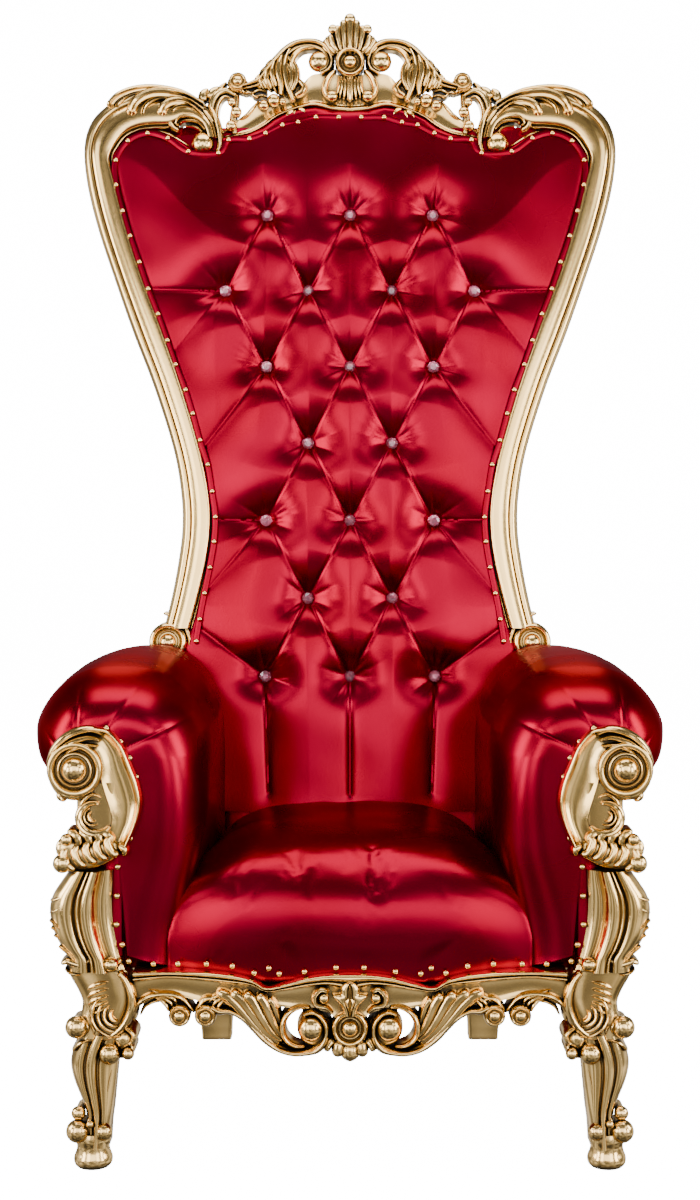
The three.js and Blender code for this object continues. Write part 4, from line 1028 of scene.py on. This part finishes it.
def side_rail():
    """The seat rail on one side, between the legs, moulded on its outer face."""
    section = np.array(((0, 236), (34, 236), (38, 237), (40, 241), (39, 247), (36, 250), (36, 272),
                        (38, 275), (41, 278), (42, 282), (41, 286), (38, 288), (0, 288)), float)
    front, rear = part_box("side_rail_right")
    rings = [np.column_stack([x + section[:, 0], np.full(len(section), y), section[:, 1]])
             for x, y in ((330, front.y / MM), (246, rear.y / MM))]
    steps = np.linspace(0, 1, 9)[:, None, None]
    made = build("side_seat_rail_right", *skinned(rings[0] + (rings[1] - rings[0]) * steps))
    return finished(made, gilding, GOLD, "side_rail_right")


def rear_rail():
    """The plain rear rail between the back legs."""
    low, high = (np.array(corner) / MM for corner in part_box("rear_rail"))
    middle = (low + high) / 2
    section = rounded((high[1] - low[1]) / 2, (high[2] - low[2]) / 2, 4)
    rings = [np.column_stack([np.full(20, x), middle[1] + section[:, 0], middle[2] + section[:, 1]])
             for x in np.linspace(low[0], high[0], 9)]
    made = build("rear_seat_rail", *skinned(np.array(rings)))
    return finished(made, gilding, GOLD, "rear_rail")


# ---------- the throne ----------
crest_rail()
mirrored(back_stile(), "stile_left", GOLD, "back_stile_left")
mirrored(arm_front(), "arm_face_left", GOLD, "arm_front_left")
mirrored(front_leg(), "leg_left", GOLD, "front_leg_left")
front_apron()
mirrored(back_post(), "back_leg_left", GOLD, "back_post_left")
mirrored(side_rail(), "side_seat_rail_left", GOLD, "side_rail_left")
rear_rail()

soft = [back_pad(), outer_back(), seat(), arm_pad()]
soft.append(mirrored(soft[3], "arm_roll_left", RED, "arm_pad_left"))

back_braid()
nail_heads()
crystal_buttons()

# ---------- studio ----------
def staged(name, material):
    """Names the shape that was just added and gives it its material; it neither lights the throne nor shows
    in its polish."""
    shape = bpy.context.object
    shape.name = name
    shape.data.materials.append(material)
    shape.visible_diffuse = False
    shape.visible_glossy = False
    return shape


def lamp(name, place, aim, width, height, power):
    """A soft box that looks at a height in the middle of the throne."""
    light = bpy.data.lights.new(name, "AREA")
    light.shape = "RECTANGLE"
    light.size = width
    light.size_y = height
    light.energy = power
    box = placed(name, light)
    box.location = place
    box.rotation_euler = (Vector((0, 0, aim)) - Vector(place)).to_track_quat("-Z", "Y").to_euler()


lamp("front_fill", (0, -4.3, 2.1), 0.95, 2.6, 2.3, 60)
lamp("top", (0, 0.1, 3.4), 0.9, 2.6, 1.5, 62)
lamp("rear", (0, 2.8, 2.4), 1.0, 2.2, 1.4, 40)
for name, (x, y, z), aim, width, height, powers in (
        ("front", (1.6, -3.2, 1.4), 0.95, 1.1, 2.0, (42, 37)),
        ("high", (2.5, -2.3, 3.1), 1.4, 1.2, 1.2, (16, 14)),
        ("side", (3.0, -0.6, 1.6), 1.0, 1.2, 1.8, (66, 66)),
        ("low", (2.9, -2.1, 0.8), 0.7, 0.8, 1.4, (34, 34))):
    for hand, sign, power in zip(("left", "right"), (-1, 1), powers):
        lamp(f"{name}_{hand}", (sign * x, y, z), aim, width, height, power)


def studio_room():
    """Pale walls round the horizon, a dim ceiling and a dark floor, with soft patches of shade."""
    n = Nodes(bpy.data.worlds.new("studio"), "Background")
    way = n.value(n.make("ShaderNodeTexCoord"), "Generated")
    height = n.value(n.make("ShaderNodeSeparateXYZ", {"Vector": way}), "Z")
    walls = n.make("ShaderNodeValToRGB", {"Fac": height * 0.5 + 0.5})
    ramp = walls.color_ramp
    ramp.interpolation = "EASE"
    for place, tone in ((0.22, 0.25), (0.34, 0.8), (0.385, 0.42), (0.44, 0.6), (0.66, 0.42), (0.74, 0.12)):
        ramp.elements.new(place).color = (tone, tone, tone, 1)
    ramp.elements[0].color = (0.1, 0.1, 0.1, 1)
    ramp.elements[-1].color = (0.2, 0.2, 0.2, 1)
    patches = {"Value": n.noise(2.4, 1, way), "From Min": 0.4, "From Max": 0.6, "To Min": 0.35, "To Max": 1.6}
    return n.surface(Color=n.value(walls), Strength=n.value(n.make("ShaderNodeMapRange", patches)))


bpy.context.scene.world = studio_room()

bpy.ops.mesh.primitive_plane_add(size=30, location=(0, 4, 0))
staged("floor", glowing("pale_floor", 0.86, 0.6, 15.5))
bpy.ops.mesh.primitive_uv_sphere_add(segments=48, ring_count=24, radius=28, location=(0, 0, 0))
backdrop = staged("backdrop", glowing("pale_backdrop", 0.0, 1.0, 16.0))
backdrop.visible_transmission = False
backdrop.visible_shadow = False

lens = bpy.data.cameras.new("camera")
lens.lens = 57.0
lens.sensor_width = 36
camera = placed("camera", lens)
camera.location = (0, -3.0836, 0.958)
camera.rotation_euler = (np.radians(90 - 3.013), 0, 0)      # it looks 3 degrees down
bpy.context.scene.camera = camera
